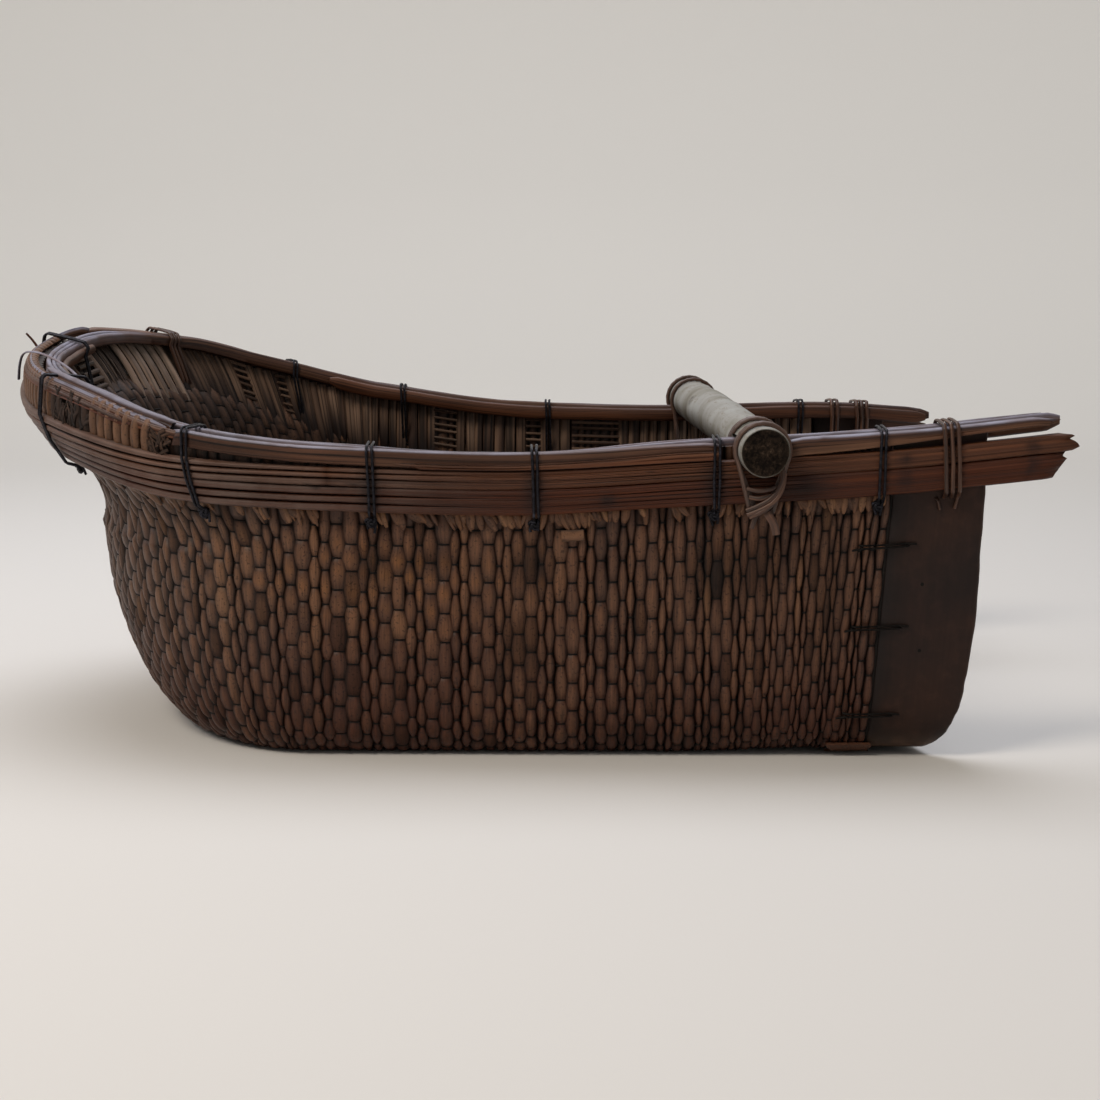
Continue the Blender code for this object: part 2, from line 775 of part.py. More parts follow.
def stitch(name, run_of, level, finish):
    """Twine through the weave and the board, knotted by passing twice on the outside."""
    x_weave = seam_x(level) - stitch_to_weave
    x_board = seam_x(level) + stitch_to_board
    room = stitch_gap + twine_radius
    swing = stitch_swing / wall_row_height(level)
    inside = -weave_thickness - room
    points = [off_wall(run_of(x_weave), level, room),
              off_wall(run_of(x_board), level, room),
              off_wall(run_of(x_board), level + swing / 2, -weave_thickness / 2),
              off_wall(run_of(x_board), level + swing, inside),
              off_wall(run_of((x_weave + x_board) / 2), level + swing, inside),
              off_wall(run_of(x_weave), level + swing, inside),
              off_wall(run_of(x_weave), level + swing, -weave_thickness / 2),
              off_wall(run_of(x_weave), level + swing, room),
              off_wall(run_of(x_weave + stitch_to_board), level + swing, room)]
    tube(name, points, twine_radius, finish)
    tall = stitch_swing + 2 * (twine_radius + hole_room)
    wide = 2 * (twine_radius + hole_room)
    through = weave_thickness + 2 * overrun
    middle = level + swing / 2
    return (wall_box(run_of(x_weave), middle, wide, tall, through),
            wall_box(run_of(x_board), middle, wide, tall, through))


def wall_row_height(level):
    """Height of one row of the profile at a level of the side wall."""
    run = near_run(seam_reach)
    low, high = max(level - sample_step, 0.0), level + sample_step
    return (wall_point(run, high) - wall_point(run, low)).length / (high - low)


def make_stitches(finish):
    boxes = {"body": [], "board": []}
    places = []
    for side, run_of in (("near", near_run), ("far", far_run)):
        for index, level in enumerate(wall_stitch_levels):
            places.append((f"{side}_stitch_{index + 1}", run_of, level))
    for index, share in enumerate(floor_stitch_shares):
        run_of = near_run if share <= 0 else far_run
        level = abs(share) * floor_edge_row
        places.append((f"floor_stitch_{index + 1}", run_of, level))
    for name, run_of, level in places:
        weave_box, board_box = stitch(name, run_of, level, finish)
        boxes["body"].append(weave_box)
        boxes["board"].append(board_box)
    return boxes


def make_basket():
    for leftover in list(bpy.data.objects):
        bpy.data.objects.remove(leftover)
    willow = material("willow_rods", (0.26, 0.15, 0.075), 0.62)
    board_wood = material("lip_board_wood", (0.12, 0.08, 0.055), 0.55)
    bamboo = material("bamboo_strips", (0.24, 0.11, 0.055), 0.42)
    bamboo_low = material("bamboo_lower", (0.22, 0.1, 0.05), 0.45)
    bamboo_top = material("bamboo_top", (0.3, 0.17, 0.1), 0.38)
    pole_wood = material("pole_wood", (0.52, 0.46, 0.38), 0.5)
    wire = material("binding_wire", (0.03, 0.03, 0.035), 0.4, 0.8)
    cane = material("split_cane", (0.3, 0.13, 0.06), 0.5)
    twine = material("dark_twine", (0.03, 0.022, 0.018), 0.8)

    body = make_woven_body(willow)
    board = make_lip_board(board_wood)
    make_outer_hoops(bamboo, bamboo_low)
    make_top_strips(bamboo_top, bamboo)
    make_inner_strips(bamboo_top, bamboo)
    make_pole(pole_wood)
    rim_holes = make_rim_bindings(wire, cane)
    rim_holes["body"] += [pole_lashing("pole_lashing_near", -1, pole_lashing_turns, cane),
                          pole_lashing("pole_lashing_far", 1, pole_lashing_turns, cane)]
    stitch_holes = make_stitches(twine)
    cut(body, box_cutter("body_hole_cutter", rim_holes["body"] + stitch_holes["body"]))
    cut(board, box_cutter("board_hole_cutter", rim_holes["board"] + stitch_holes["board"]))


make_basket()
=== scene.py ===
"""Winnowing basket: the looks of the woven willow scoop, its bamboo rim, lip board and pole.

A place on the wall is a run (the distance along the rim, zero where the near side meets the round
back) and a level (the rows of the wall's profile, from 0 in the floor's middle to 9 at the top).
"""

import math

import bmesh
import bpy
import numpy as np
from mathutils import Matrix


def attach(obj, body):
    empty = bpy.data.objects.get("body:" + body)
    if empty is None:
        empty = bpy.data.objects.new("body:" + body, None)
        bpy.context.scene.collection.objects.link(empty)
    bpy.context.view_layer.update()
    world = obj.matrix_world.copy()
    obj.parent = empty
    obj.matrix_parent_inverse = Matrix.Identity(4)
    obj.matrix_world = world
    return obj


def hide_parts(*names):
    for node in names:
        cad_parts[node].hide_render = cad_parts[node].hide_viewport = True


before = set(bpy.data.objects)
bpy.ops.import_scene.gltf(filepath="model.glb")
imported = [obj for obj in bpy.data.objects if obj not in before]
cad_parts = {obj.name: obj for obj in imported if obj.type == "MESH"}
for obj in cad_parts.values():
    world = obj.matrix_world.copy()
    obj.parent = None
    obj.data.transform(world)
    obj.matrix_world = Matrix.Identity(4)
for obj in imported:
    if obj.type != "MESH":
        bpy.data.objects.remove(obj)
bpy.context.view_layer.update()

MM = 0.001
draw = np.random.default_rng(3352)

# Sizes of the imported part
overall_length, overall_width = 668 * MM, 450 * MM
rim_height, back_rise, back_reach = 186 * MM, 67 * MM, 218 * MM
weave_thickness, weave_top_drop = 8 * MM, 3 * MM
seam_reach, seam_slope = 227 * MM, 11 * MM
lip_lift, lift_start, lift_end = 2.6 * MM, 110 * MM, 180 * MM
strip_height, strip_thickness = 13 * MM, 6.6 * MM
top_strip_height, fold_gap = 11 * MM, 12 * MM
hoop_thickness, hoop_height = 9 * MM, 11 * MM
far_strip_thickness, bound_thickness = 4.5 * MM, 4 * MM
board_thickness, board_recess = 6 * MM, 1 * MM
board_reach, board_toe = 282 * MM, 39 * MM
pole_radius_near, pole_radius_far, pole_length = 14.3 * MM, 15.4 * MM, 486 * MM
pole_x_near, pole_x_far = 150 * MM, 130 * MM
pole_z_near, pole_z_far, pole_bow = 187 * MM, 195 * MM, 1.5 * MM
strip_gap, piece_gap = 0.55 * MM, 0.3 * MM

side_reach_shares = (0, 0.5, 0.835, 0.93, 0.957, 0.97, 0.981, 0.99, 0.998, 1)
back_reach_shares = (0, 0.27, 0.475, 0.61, 0.69, 0.745, 0.772, 0.91, 0.994, 0.982)
side_height_shares = (0, 0, 0, 0.085, 0.26, 0.54, 0.79)
back_height_shares = (0, 0, 0, 0.13, 0.29, 0.47, 0.68)
board_front_shares = (1, 0.95, 0.78, 0.43, 0.21, 0.08, 0.03, 0.01, 0, 0)
rim_rise_shares = (
    0.35, 0.18, 0.08, 0, 0.06, 0.2, 0.5, 0.68, 0.85,
    1, 0.91, 0.62, 0.33, 0.11, 0.06, 0.1, 0.01,
)
fold_shares = (0, 0, 0, 0, 0.1, 0.5, 1, 0.95, 0.35, 0, 0, 0, 0, 0, 0, 0, 0)
knots_per_run, knots_round_back = 4, 8
lift_rows = (3, 6)

half_width = overall_width / 2
body_half_width = half_width - strip_thickness - strip_gap
body_back_reach = back_reach - strip_thickness - strip_gap
centre_x = back_reach - overall_length / 2
run_length = overall_length / 2 - centre_x
turn_length = math.pi * half_width
band_height = 2 * strip_height
step = 0.02


def smooth_table(values, place):
    """Smooth curve through evenly spaced values, with no overshoot, for whole arrays of places."""
    place = np.asarray(place, float)
    values = np.array([np.broadcast_to(value, place.shape) for value in values], float)
    steps = np.diff(values, axis=0)
    both = steps[:-1] * steps[1:]
    inner = np.where(both > 0, 2 * both / np.where(both > 0, steps[:-1] + steps[1:], 1), 0)
    slopes = np.concatenate([steps[:1], inner, steps[-1:]])
    place = np.clip(place, 0, len(steps))
    index = np.minimum(place.astype(int), len(steps) - 1)
    part = place - index
    low, high = (np.take_along_axis(values, at[None], 0)[0] for at in (index, index + 1))
    low_slope, high_slope = (np.take_along_axis(slopes, at[None], 0)[0] for at in (index, index + 1))
    square, cube = part ** 2, part ** 3
    return (low * (2 * cube - 3 * square + 1) + high * (3 * square - 2 * cube)
            + low_slope * (cube - 2 * square + part) + high_slope * (cube - square))


def smooth_step(low, high, value):
    """Zero at low, one at high, and eased between them."""
    part = np.clip((value - low) / (high - low), 0, 1)
    return part * part * (3 - 2 * part)


def bell(away, size):
    """One at no distance away, and fading to nothing at about twice the size."""
    return np.exp(-(away / size) ** 2)


def near_end(run, end, reach):
    """One at the end of a strip, and zero a reach away from it."""
    return np.clip(1 - np.abs(run - end) / reach, 0, 1)


def run_x(run):
    """Place along X of a run beside the mouth, which stays at the bend round the back."""
    return centre_x + np.maximum(-run, 0) + np.maximum(run - turn_length, 0)


def rim_knot(run):
    """Place along the tables of the rim's rise and fold."""
    near = knots_per_run * (1 + run / run_length)
    far = knots_per_run + knots_round_back + knots_per_run * (run - turn_length) / run_length
    back = knots_per_run + knots_round_back * run / turn_length
    return np.where(run < 0, near, np.where(run > turn_length, far, back))


def rim_top(run):
    return rim_height + back_rise * smooth_table(rim_rise_shares, rim_knot(run))


def band_drop(run):
    """Drop from the rim's top to the outer hoops."""
    return top_strip_height + fold_gap * smooth_table(fold_shares, rim_knot(run))


def wall(run, level):
    """Places on the outer face of the weave."""
    run, level = np.broadcast_arrays(np.asarray(run, float), np.asarray(level, float))
    angle = np.clip(run / half_width, 0, math.pi)
    backness = np.sin(angle) ** 2
    top = rim_top(run)
    shoulder = top - band_drop(run) - band_height
    heights = [shoulder * (side + (back - side) * backness)
               for side, back in zip(side_height_shares, back_height_shares)]
    heights += [shoulder, shoulder + band_height, top - weave_top_drop]
    x = run_x(run) - body_back_reach * smooth_table(back_reach_shares, level) * np.sin(angle)
    y = -body_half_width * smooth_table(side_reach_shares, level) * np.cos(angle)
    fade = 1 - smooth_step(lift_rows[0], lift_rows[1], level)
    z = smooth_table(heights, level) + lip_lift * fade * smooth_step(lift_start, lift_end, x)
    return np.stack([x, y, z], -1)


def unit(vectors):
    return vectors / np.maximum(np.linalg.norm(vectors, axis=-1, keepdims=True), 1e-12)


def wall_out(run, level):
    """Outward directions of the weave's outer face."""
    level = np.maximum(level, step)
    up = wall(run, np.minimum(level + step, 9)) - wall(run, level - step)
    reach = step * half_width
    along = wall(run + reach, level) - wall(run - reach, level)
    return unit(np.cross(up, along))


def off_wall(run, level, out, lift=0.0):
    """Places at a distance out from the weave's outer face, and a lift above it."""
    run, level, out, lift = np.broadcast_arrays(run, level, out, lift)
    place = wall(run, level) + wall_out(run, level) * out[..., None]
    place[..., 2] += lift
    return place


def near_run(x):
    """Run at a place along X on the near side."""
    return centre_x - x


def far_run(x):
    """Run at a place along X on the far side."""
    return turn_length + x - centre_x


def turn_run(degrees):
    """Run at an angle round the back, from the near side."""
    return math.radians(degrees) * half_width


def level_at_drop(run, drop):
    """Level at a drop below the top of the rim, above the outer hoops."""
    return 8 + (band_drop(run) - drop) / (band_drop(run) - weave_top_drop)


# Building meshes

MARKS = ("tone", "crown", "along", "across", "wear", "stain")


class Bundle:
    """Mesh of many swept pieces, with marks on its points that the finishes read."""

    def __init__(self, name):
        self.name = name
        self.points, self.loops, self.sizes = [], [], []
        self.marks = {mark: [] for mark in MARKS}
        self.count = 0

    def add_points(self, points, **marks):
        points = points.reshape(-1, 3)
        for mark in MARKS:
            value = np.asarray(marks.get(mark, 0.0), float).reshape(-1)
            self.marks[mark].append(np.broadcast_to(value, len(points)))
        self.points.append(points)
        first = self.count
        self.count += len(points)
        return first

    def add_faces(self, faces):
        faces = np.asarray(faces, np.int64)
        self.loops.append(faces.reshape(-1))
        self.sizes.append(np.full(len(faces), faces.shape[1], np.int64))

    def add_rings(self, rings, capped=True, **marks):
        """Skin over rings of points, shape (rings, points, 3). A mark is a number, one number for
        each ring, or a table that spreads over all the points."""
        count, around = rings.shape[:2]
        spread = {}
        for mark, value in marks.items():
            value = np.asarray(value, float)
            if value.ndim == 1:
                value = value[:, None]
            spread[mark] = np.broadcast_to(value, (count, around))
        first = self.add_points(rings, **spread)
        ring = np.arange(count - 1)[:, None] * around
        place = np.arange(around)[None]
        after = (place + 1) % around
        faces = np.stack([ring + place, ring + around + place, ring + around + after, ring + after], -1)
        self.add_faces(faces.reshape(-1, 4) + first)
        if capped:
            cap = np.arange(around)
            self.add_faces([cap + first])
            self.add_faces([cap[::-1] + first + (count - 1) * around])

    def build(self, finish, slot_name, replaced=(), sharp=50):
        """Make the object, give it its finish and hang it on the part."""
        mesh = bpy.data.meshes.new(self.name)
        points = np.concatenate(self.points).astype(np.float32)
        loops = np.concatenate(self.loops).astype(np.int32)
        sizes = np.concatenate(self.sizes).astype(np.int32)
        mesh.vertices.add(len(points))
        mesh.vertices.foreach_set("co", points.reshape(-1))
        mesh.loops.add(len(loops))
        mesh.loops.foreach_set("vertex_index", loops)
        mesh.polygons.add(len(sizes))
        starts = np.concatenate([[0], np.cumsum(sizes)[:-1]]).astype(np.int32)
        mesh.polygons.foreach_set("loop_start", starts)
        mesh.update(calc_edges=True)
        mesh.validate()
        form = bmesh.new()
        form.from_mesh(mesh)
        bmesh.ops.recalc_face_normals(form, faces=form.faces)
        form.to_mesh(mesh)
        form.free()
        for mark in MARKS:
            layer = mesh.attributes.new(mark, "FLOAT", "POINT")
            layer.data.foreach_set("value", np.concatenate(self.marks[mark]).astype(np.float32))
        mesh.shade_smooth()
        mesh.set_sharp_from_angle(angle=math.radians(sharp))
        mesh.materials.append(finish)
        piece = bpy.data.objects.new(self.name, mesh)
        bpy.context.scene.collection.objects.link(piece)
        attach(piece, "root")
        if replaced:
            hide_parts(*replaced)
        return piece


def smooth_line(points, rounds=2):
    """Corner-cut line through points."""
    points = np.asarray(points, float)
    for _ in range(rounds):
        here, ahead = points[:-1], points[1:]
        cut = np.stack([here * 0.75 + ahead * 0.25, here * 0.25 + ahead * 0.75], 1).reshape(-1, 3)
        points = np.concatenate([points[:1], cut, points[-1:]])
    return points


def add_strand(bundle, points, wide, thick, outward, sides=8, tone=0.5, twist=0.0, **marks):
    """Strand of elliptic section along points, its flat side turned outward."""
    points = np.asarray(points, float)
    ahead = unit(np.gradient(points, axis=0))
    outward = np.broadcast_to(outward, points.shape)
    out = unit(outward - ahead * np.sum(outward * ahead, -1, keepdims=True))
    side = np.cross(ahead, out)
    lengths = np.concatenate([[0], np.cumsum(np.linalg.norm(np.diff(points, axis=0), axis=1))])
    wide = np.broadcast_to(wide, len(points))[:, None, None]
    thick = np.broadcast_to(thick, len(points))[:, None, None]
    angle = np.arange(sides) / sides * 2 * math.pi
    turned = angle[None] + twist * lengths[:, None]
    across = np.cos(turned)[..., None] * wide
    up = np.sin(turned)[..., None] * thick
    rings = points[:, None] + side[:, None] * across + out[:, None] * up
    # The crown mark is one on the face turned outward and falls to nothing on the far face; the willow and
    # bamboo finishes paint shade where it is low
    bundle.add_rings(rings, tone=tone, along=lengths, across=(angle / math.pi * 2 * MM)[None],
                     crown=(0.5 + 0.5 * np.sin(turned)), **marks)


# Finishes

def linear(code):
    """Linear colour of an sRGB hex value."""
    channels = [int(code[place:place + 2], 16) / 255 for place in (1, 3, 5)]
    return tuple(c / 12.92 if c <= 0.04045 else ((c + 0.055) / 1.055) ** 2.4 for c in channels) + (1.0,)


def add_node(tree, kind, settings=None, result=0, **inputs):
    """Add a node with its settings and its inputs, and give back one of its outputs. An input goes by
    its number, as in in_0, or its name, and is linked to an output or set to a number or hex colour.
    The setting "stops" holds the places of a ramp, each with a hex colour or a grey."""
    made = tree.nodes.new(kind)
    for key, value in (settings or {}).items():
        if key != "stops":
            setattr(made, key, value)
    for index, (place, colour) in enumerate((settings or {}).get("stops", ())):
        elements = made.color_ramp.elements
        element = elements[index] if index < 2 else elements.new(place)
        element.position = place
        element.color = linear(colour) if isinstance(colour, str) else (colour, colour, colour, 1)
    for key, source in inputs.items():
        socket = made.inputs[int(key[3:]) if key.startswith("in_") else key]
        if isinstance(source, bpy.types.NodeSocket):
            tree.links.new(source, socket)
        else:
            socket.default_value = linear(source) if isinstance(source, str) else source
    return made.outputs[result]


def new_finish(name, **sockets):
    """Start a finish, with its constant sockets and the marks that the meshes carry. The mark
    "strand" holds the place along a strand, across it, and a number that sets it apart."""
    finish = bpy.data.materials.new(name)
    finish.use_nodes = True
    tree = finish.node_tree
    shader = tree.nodes["Principled BSDF"]
    for key, value in sockets.items():
        shader.inputs[key.replace("_", " ")].default_value = value
    marks = {mark: add_node(tree, "ShaderNodeAttribute", {"attribute_name": mark}, 2) for mark in MARKS}
    marks["strand"] = add_node(tree, "ShaderNodeCombineXYZ", in_0=marks["along"], in_1=marks["across"],
                               in_2=marks["tone"])
    marks["place"] = add_node(tree, "ShaderNodeTexCoord", None, 3)
    return finish, tree, shader, marks


def link_shader(tree, shader, **outputs):
    """Link outputs to the shader's sockets."""
    for key, output in outputs.items():
        tree.links.new(output, shader.inputs[key.replace("_", " ")])


MULTIPLY = {"operation": "MULTIPLY"}
BLEND, DARKEN = {"data_type": "RGBA"}, {"data_type": "RGBA", "blend_type": "MULTIPLY"}


def willow_finish():
    # Peeled willow rods, woven damp, dried and darkened by smoke and hands: dull brown with lengthwise
    # fibres, golden crowns from use, and paler crowns that are partly from use and partly a painted
    # highlight. Painted shade makes them red brown low down and near black in the gaps, and a painted
    # grey sheen lies high on the back.
    finish, tree, shader, marks = new_finish("peeled_willow_woven", Specular_IOR_Level=0.3)
    # Bast fibres lie 0.7 mm apart and run on for 15 mm
    fibre = add_node(tree, "ShaderNodeVectorMath", MULTIPLY, in_0=marks["strand"], in_1=(70, 1400, 91))
    streak = add_node(tree, "ShaderNodeTexNoise", None, 0, Vector=fibre, Scale=1.0, Detail=4.0,
                      Roughness=0.62)
    patch = add_node(tree, "ShaderNodeTexNoise", None, 0, Vector=marks["place"], Scale=9.0, Detail=2.0)
    # Specks of dirt and bark about 1 mm across
    speck = add_node(tree, "ShaderNodeTexNoise", None, 0, Vector=marks["place"], Scale=620.0, Detail=2.0)
    split = add_node(tree, "ShaderNodeSeparateXYZ", in_0=marks["place"]).node.outputs
    base = add_node(tree, "ShaderNodeValToRGB", {"stops": (
        (0.0, "#34221a"), (0.3, "#482e22"), (0.6, "#5a3b2a"), (0.85, "#6c4a34"), (1.0, "#7d593e"))},
        in_0=marks["tone"])
    high = add_node(tree, "ShaderNodeMapRange", None, 0, in_0=split[2], in_1=0.01, in_2=0.10)
    # Painted shade: the foot of the wall, below about 10 cm, is painted darker and redder
    low = add_node(tree, "ShaderNodeMix", BLEND, 2, in_0=0.8, in_6=base, in_7="#3d1707")
    base = add_node(tree, "ShaderNodeMix", BLEND, 2, in_0=high, in_6=low, in_7=base)
    left = add_node(tree, "ShaderNodeMapRange", None, 0, in_0=split[0], in_1=-0.10, in_2=-0.24)
    # Painted sheen: the high back, towards the left, is painted grey for the pale light from the left
    grey = add_node(tree, "ShaderNodeMath", MULTIPLY, in_0=left, in_1=high)
    grey = add_node(tree, "ShaderNodeMath", MULTIPLY, in_0=grey, in_1=0.5)
    gold = add_node(tree, "ShaderNodeMath", MULTIPLY, in_0=marks["wear"], in_1=0.66)
    # Crowns paler in patches: partly from use, partly a painted highlight on the tops of the bumps
    worn_and_sheen = add_node(tree, "ShaderNodeMapRange", None, 0, in_0=marks["crown"], in_1=0.75, in_2=1.0)
    rubbed = add_node(tree, "ShaderNodeValToRGB", {"stops": ((0.4, 0.05), (0.65, 0.4))}, in_0=patch)
    worn_and_sheen = add_node(tree, "ShaderNodeMath", MULTIPLY, in_0=worn_and_sheen, in_1=rubbed)
    for share, colour in ((grey, "#43372f"), (gold, "#8f5c2c"), (worn_and_sheen, "#76553d")):
        base = add_node(tree, "ShaderNodeMix", BLEND, 2, in_0=share, in_6=base, in_7=colour)
    streaks = add_node(tree, "ShaderNodeValToRGB", {"stops": (
        (0.3, 0.45), (0.42, 0.82), (0.55, 1.05), (0.75, 1.4))}, in_0=streak)
    specks = add_node(tree, "ShaderNodeValToRGB", {"stops": ((0.32, 0.45), (0.42, 1.0))}, in_0=speck)
    for layer in (streaks, specks):
        base = add_node(tree, "ShaderNodeMix", DARKEN, 2, in_0=1.0, in_6=base, in_7=layer)
    # Painted shade: where the crown is low, in the gaps and notches between rods and on the undersides of
    # strands, the colour goes near black
    deep = add_node(tree, "ShaderNodeMapRange", None, 0, in_0=marks["crown"], in_1=0.25, in_2=0.95)
    base = add_node(tree, "ShaderNodeMix", BLEND, 2, in_0=deep, in_6="#0c0705", in_7=base)
    # Near black where the darkening mark is high: real soiling outside and in the broken place, and painted
    # shade on the inner faces
    base = add_node(tree, "ShaderNodeMix", BLEND, 2, in_0=marks["stain"], in_6=base, in_7="#0d0908")
    # Rods turn matt where the darkening mark is high: on the soiled patches outside, and inside the basket
    # where shade is painted
    rough = add_node(tree, "ShaderNodeMapRange", None, 0, in_0=marks["stain"], in_1=0.0, in_2=0.35,
                     in_3=0.48, in_4=0.85)
    bump = add_node(tree, "ShaderNodeBump", None, 0, Height=streak, Strength=0.45, Distance=0.5 * MM)
    link_shader(tree, shader, Base_Color=base, Roughness=rough, Normal=bump)
    return finish


def bamboo_finish(name, dark, middle, pale, skin="#8f8078"):
    # Split bamboo, scraped and tied round while green: straight fibres every half millimetre,
    # reddish brown inside faces, and a pale top edge on the skin that is a painted sheen of the light
    # from above on skin polished by handling.
    finish, tree, shader, marks = new_finish(name, Roughness=0.45, Specular_IOR_Level=0.22)
    # Fibre lines 1 mm apart and 100 mm long, over bands of fibre 4 mm wide
    fine_place = add_node(tree, "ShaderNodeVectorMath", MULTIPLY, in_0=marks["strand"], in_1=(9, 900, 91))
    band_place = add_node(tree, "ShaderNodeVectorMath", MULTIPLY, in_0=marks["strand"], in_1=(5, 260, 53))
    fine = add_node(tree, "ShaderNodeTexNoise", None, 0, Vector=fine_place, Scale=1.0, Detail=5.0,
                    Roughness=0.7)
    coarse = add_node(tree, "ShaderNodeTexNoise", None, 0, Vector=band_place, Scale=1.0, Detail=3.0)
    mottle = add_node(tree, "ShaderNodeTexNoise", None, 0, Vector=marks["place"], Scale=60.0, Detail=4.0)
    cloud = add_node(tree, "ShaderNodeTexNoise", None, 0, Vector=marks["place"], Scale=11.0, Detail=2.0)
    base = add_node(tree, "ShaderNodeValToRGB", {"stops": ((0.28, dark), (0.5, middle), (0.74, pale))},
                    in_0=coarse)
    lighter = add_node(tree, "ShaderNodeValToRGB", {"stops": ((0.0, 0.72), (0.5, 1.0), (1.0, 1.3))},
                       in_0=marks["tone"])
    lines = add_node(tree, "ShaderNodeValToRGB", {"stops": ((0.32, 0.35), (0.44, 0.95), (0.8, 1.15))},
                     in_0=fine)
    # Hairline splits about 2 mm apart that run on for most of a metre
    split_place = add_node(tree, "ShaderNodeVectorMath", MULTIPLY, in_0=marks["strand"],
                           in_1=(1.3, 380, 17))
    split = add_node(tree, "ShaderNodeTexNoise", None, 0, Vector=split_place, Scale=1.0, Detail=2.5)
    splits = add_node(tree, "ShaderNodeValToRGB", {"stops": (
        (0.41, 1.0), (0.44, 0.15), (0.47, 1.0), (0.53, 1.0), (0.56, 0.25), (0.59, 1.0))}, in_0=split)
    clouds = add_node(tree, "ShaderNodeValToRGB", {"stops": ((0.35, 0.75), (0.65, 1.15))}, in_0=cloud)
    for layer in (lighter, lines, clouds, splits):
        base = add_node(tree, "ShaderNodeMix", DARKEN, 2, in_0=1.0, in_6=base, in_7=layer)
    # Painted sheen: the pale skin colour, in mottled patches, goes where the mark for the pale top is high
    rubbed = add_node(tree, "ShaderNodeValToRGB", {"stops": ((0.35, 0.5), (0.6, 1.0))}, in_0=mottle)
    worn_and_sheen = add_node(tree, "ShaderNodeMath", MULTIPLY, in_0=marks["wear"], in_1=rubbed)
    for share, colour in ((worn_and_sheen, skin), (marks["stain"], "#110c0e")):
        base = add_node(tree, "ShaderNodeMix", BLEND, 2, in_0=share, in_6=base, in_7=colour)
    # Painted shade: near black where the crown is low, in the grooves, under the strands and along edges that
    # lie on other parts
    edge = add_node(tree, "ShaderNodeMapRange", None, 0, in_0=marks["crown"], in_1=0.0, in_2=0.4)
    base = add_node(tree, "ShaderNodeMix", BLEND, 2, in_0=edge, in_6="#0c0705", in_7=base)
    bump = add_node(tree, "ShaderNodeBump", None, 0, Height=fine, Strength=0.6, Distance=0.3 * MM)
    link_shader(tree, shader, Base_Color=base, Normal=bump)
    return finish


def twine_finish():
    # Hemp twine, twisted and waxed dark: matt, with ply that turns every few millimetres.
    finish, tree, shader, marks = new_finish("waxed_hemp_twine", Roughness=0.75, Specular_IOR_Level=0.2)
    ply = add_node(tree, "ShaderNodeVectorMath", MULTIPLY, in_0=marks["strand"], in_1=(900, 900, 91))
    grain = add_node(tree, "ShaderNodeTexNoise", None, 0, Vector=ply, Scale=1.0, Detail=2.0)
    base = add_node(tree, "ShaderNodeValToRGB", {"stops": (
        (0.3, "#090706"), (0.6, "#15100d"), (0.8, "#251c16"))}, in_0=grain)
    bump = add_node(tree, "ShaderNodeBump", None, 0, Height=grain, Strength=0.6, Distance=0.3 * MM)
    link_shader(tree, shader, Base_Color=base, Normal=bump)
    return finish


def wire_finish():
    # Annealed iron wire, black from the fire with a dull blue-grey shine where it is rubbed.
    finish, tree, shader, marks = new_finish("annealed_iron_wire", Metallic=0.7)
    grain = add_node(tree, "ShaderNodeTexNoise", None, 0, Vector=marks["place"], Scale=420.0, Detail=3.0)
    base = add_node(tree, "ShaderNodeValToRGB", {"stops": (
        (0.35, "#121115"), (0.6, "#25242b"), (0.8, "#45444e"))}, in_0=grain)
    rough = add_node(tree, "ShaderNodeValToRGB", {"stops": ((0.3, 0.6), (0.7, 0.38))}, in_0=grain)
    link_shader(tree, shader, Base_Color=base, Roughness=rough)
    return finish


def cane_finish():
    # Split rattan cane, skin side out: smooth, dark red brown with fine lengthwise lines.
    finish, tree, shader, marks = new_finish("split_rattan_cane", Roughness=0.42, Specular_IOR_Level=0.4)
    # Pores lie 0.7 mm apart across the skin
    pores = add_node(tree, "ShaderNodeVectorMath", MULTIPLY, in_0=marks["strand"], in_1=(40, 1500, 91))
    fine = add_node(tree, "ShaderNodeTexNoise", None, 0, Vector=pores, Scale=1.0, Detail=4.0)
    base = add_node(tree, "ShaderNodeValToRGB", {"stops": (
        (0.3, "#20140e"), (0.5, "#422a1e"), (0.75, "#644533"))}, in_0=fine)
    lighter = add_node(tree, "ShaderNodeValToRGB", {"stops": ((0.0, 0.6), (0.5, 1.0), (1.0, 1.45))},
                       in_0=marks["tone"])
    base = add_node(tree, "ShaderNodeMix", DARKEN, 2, in_0=1.0, in_6=base, in_7=lighter)
    base = add_node(tree, "ShaderNodeMix", BLEND, 2, in_0=marks["wear"], in_6=base, in_7="#83726a")
    bump = add_node(tree, "ShaderNodeBump", None, 0, Height=fine, Strength=0.3, Distance=0.2 * MM)
    link_shader(tree, shader, Base_Color=base, Normal=bump)
    return finish


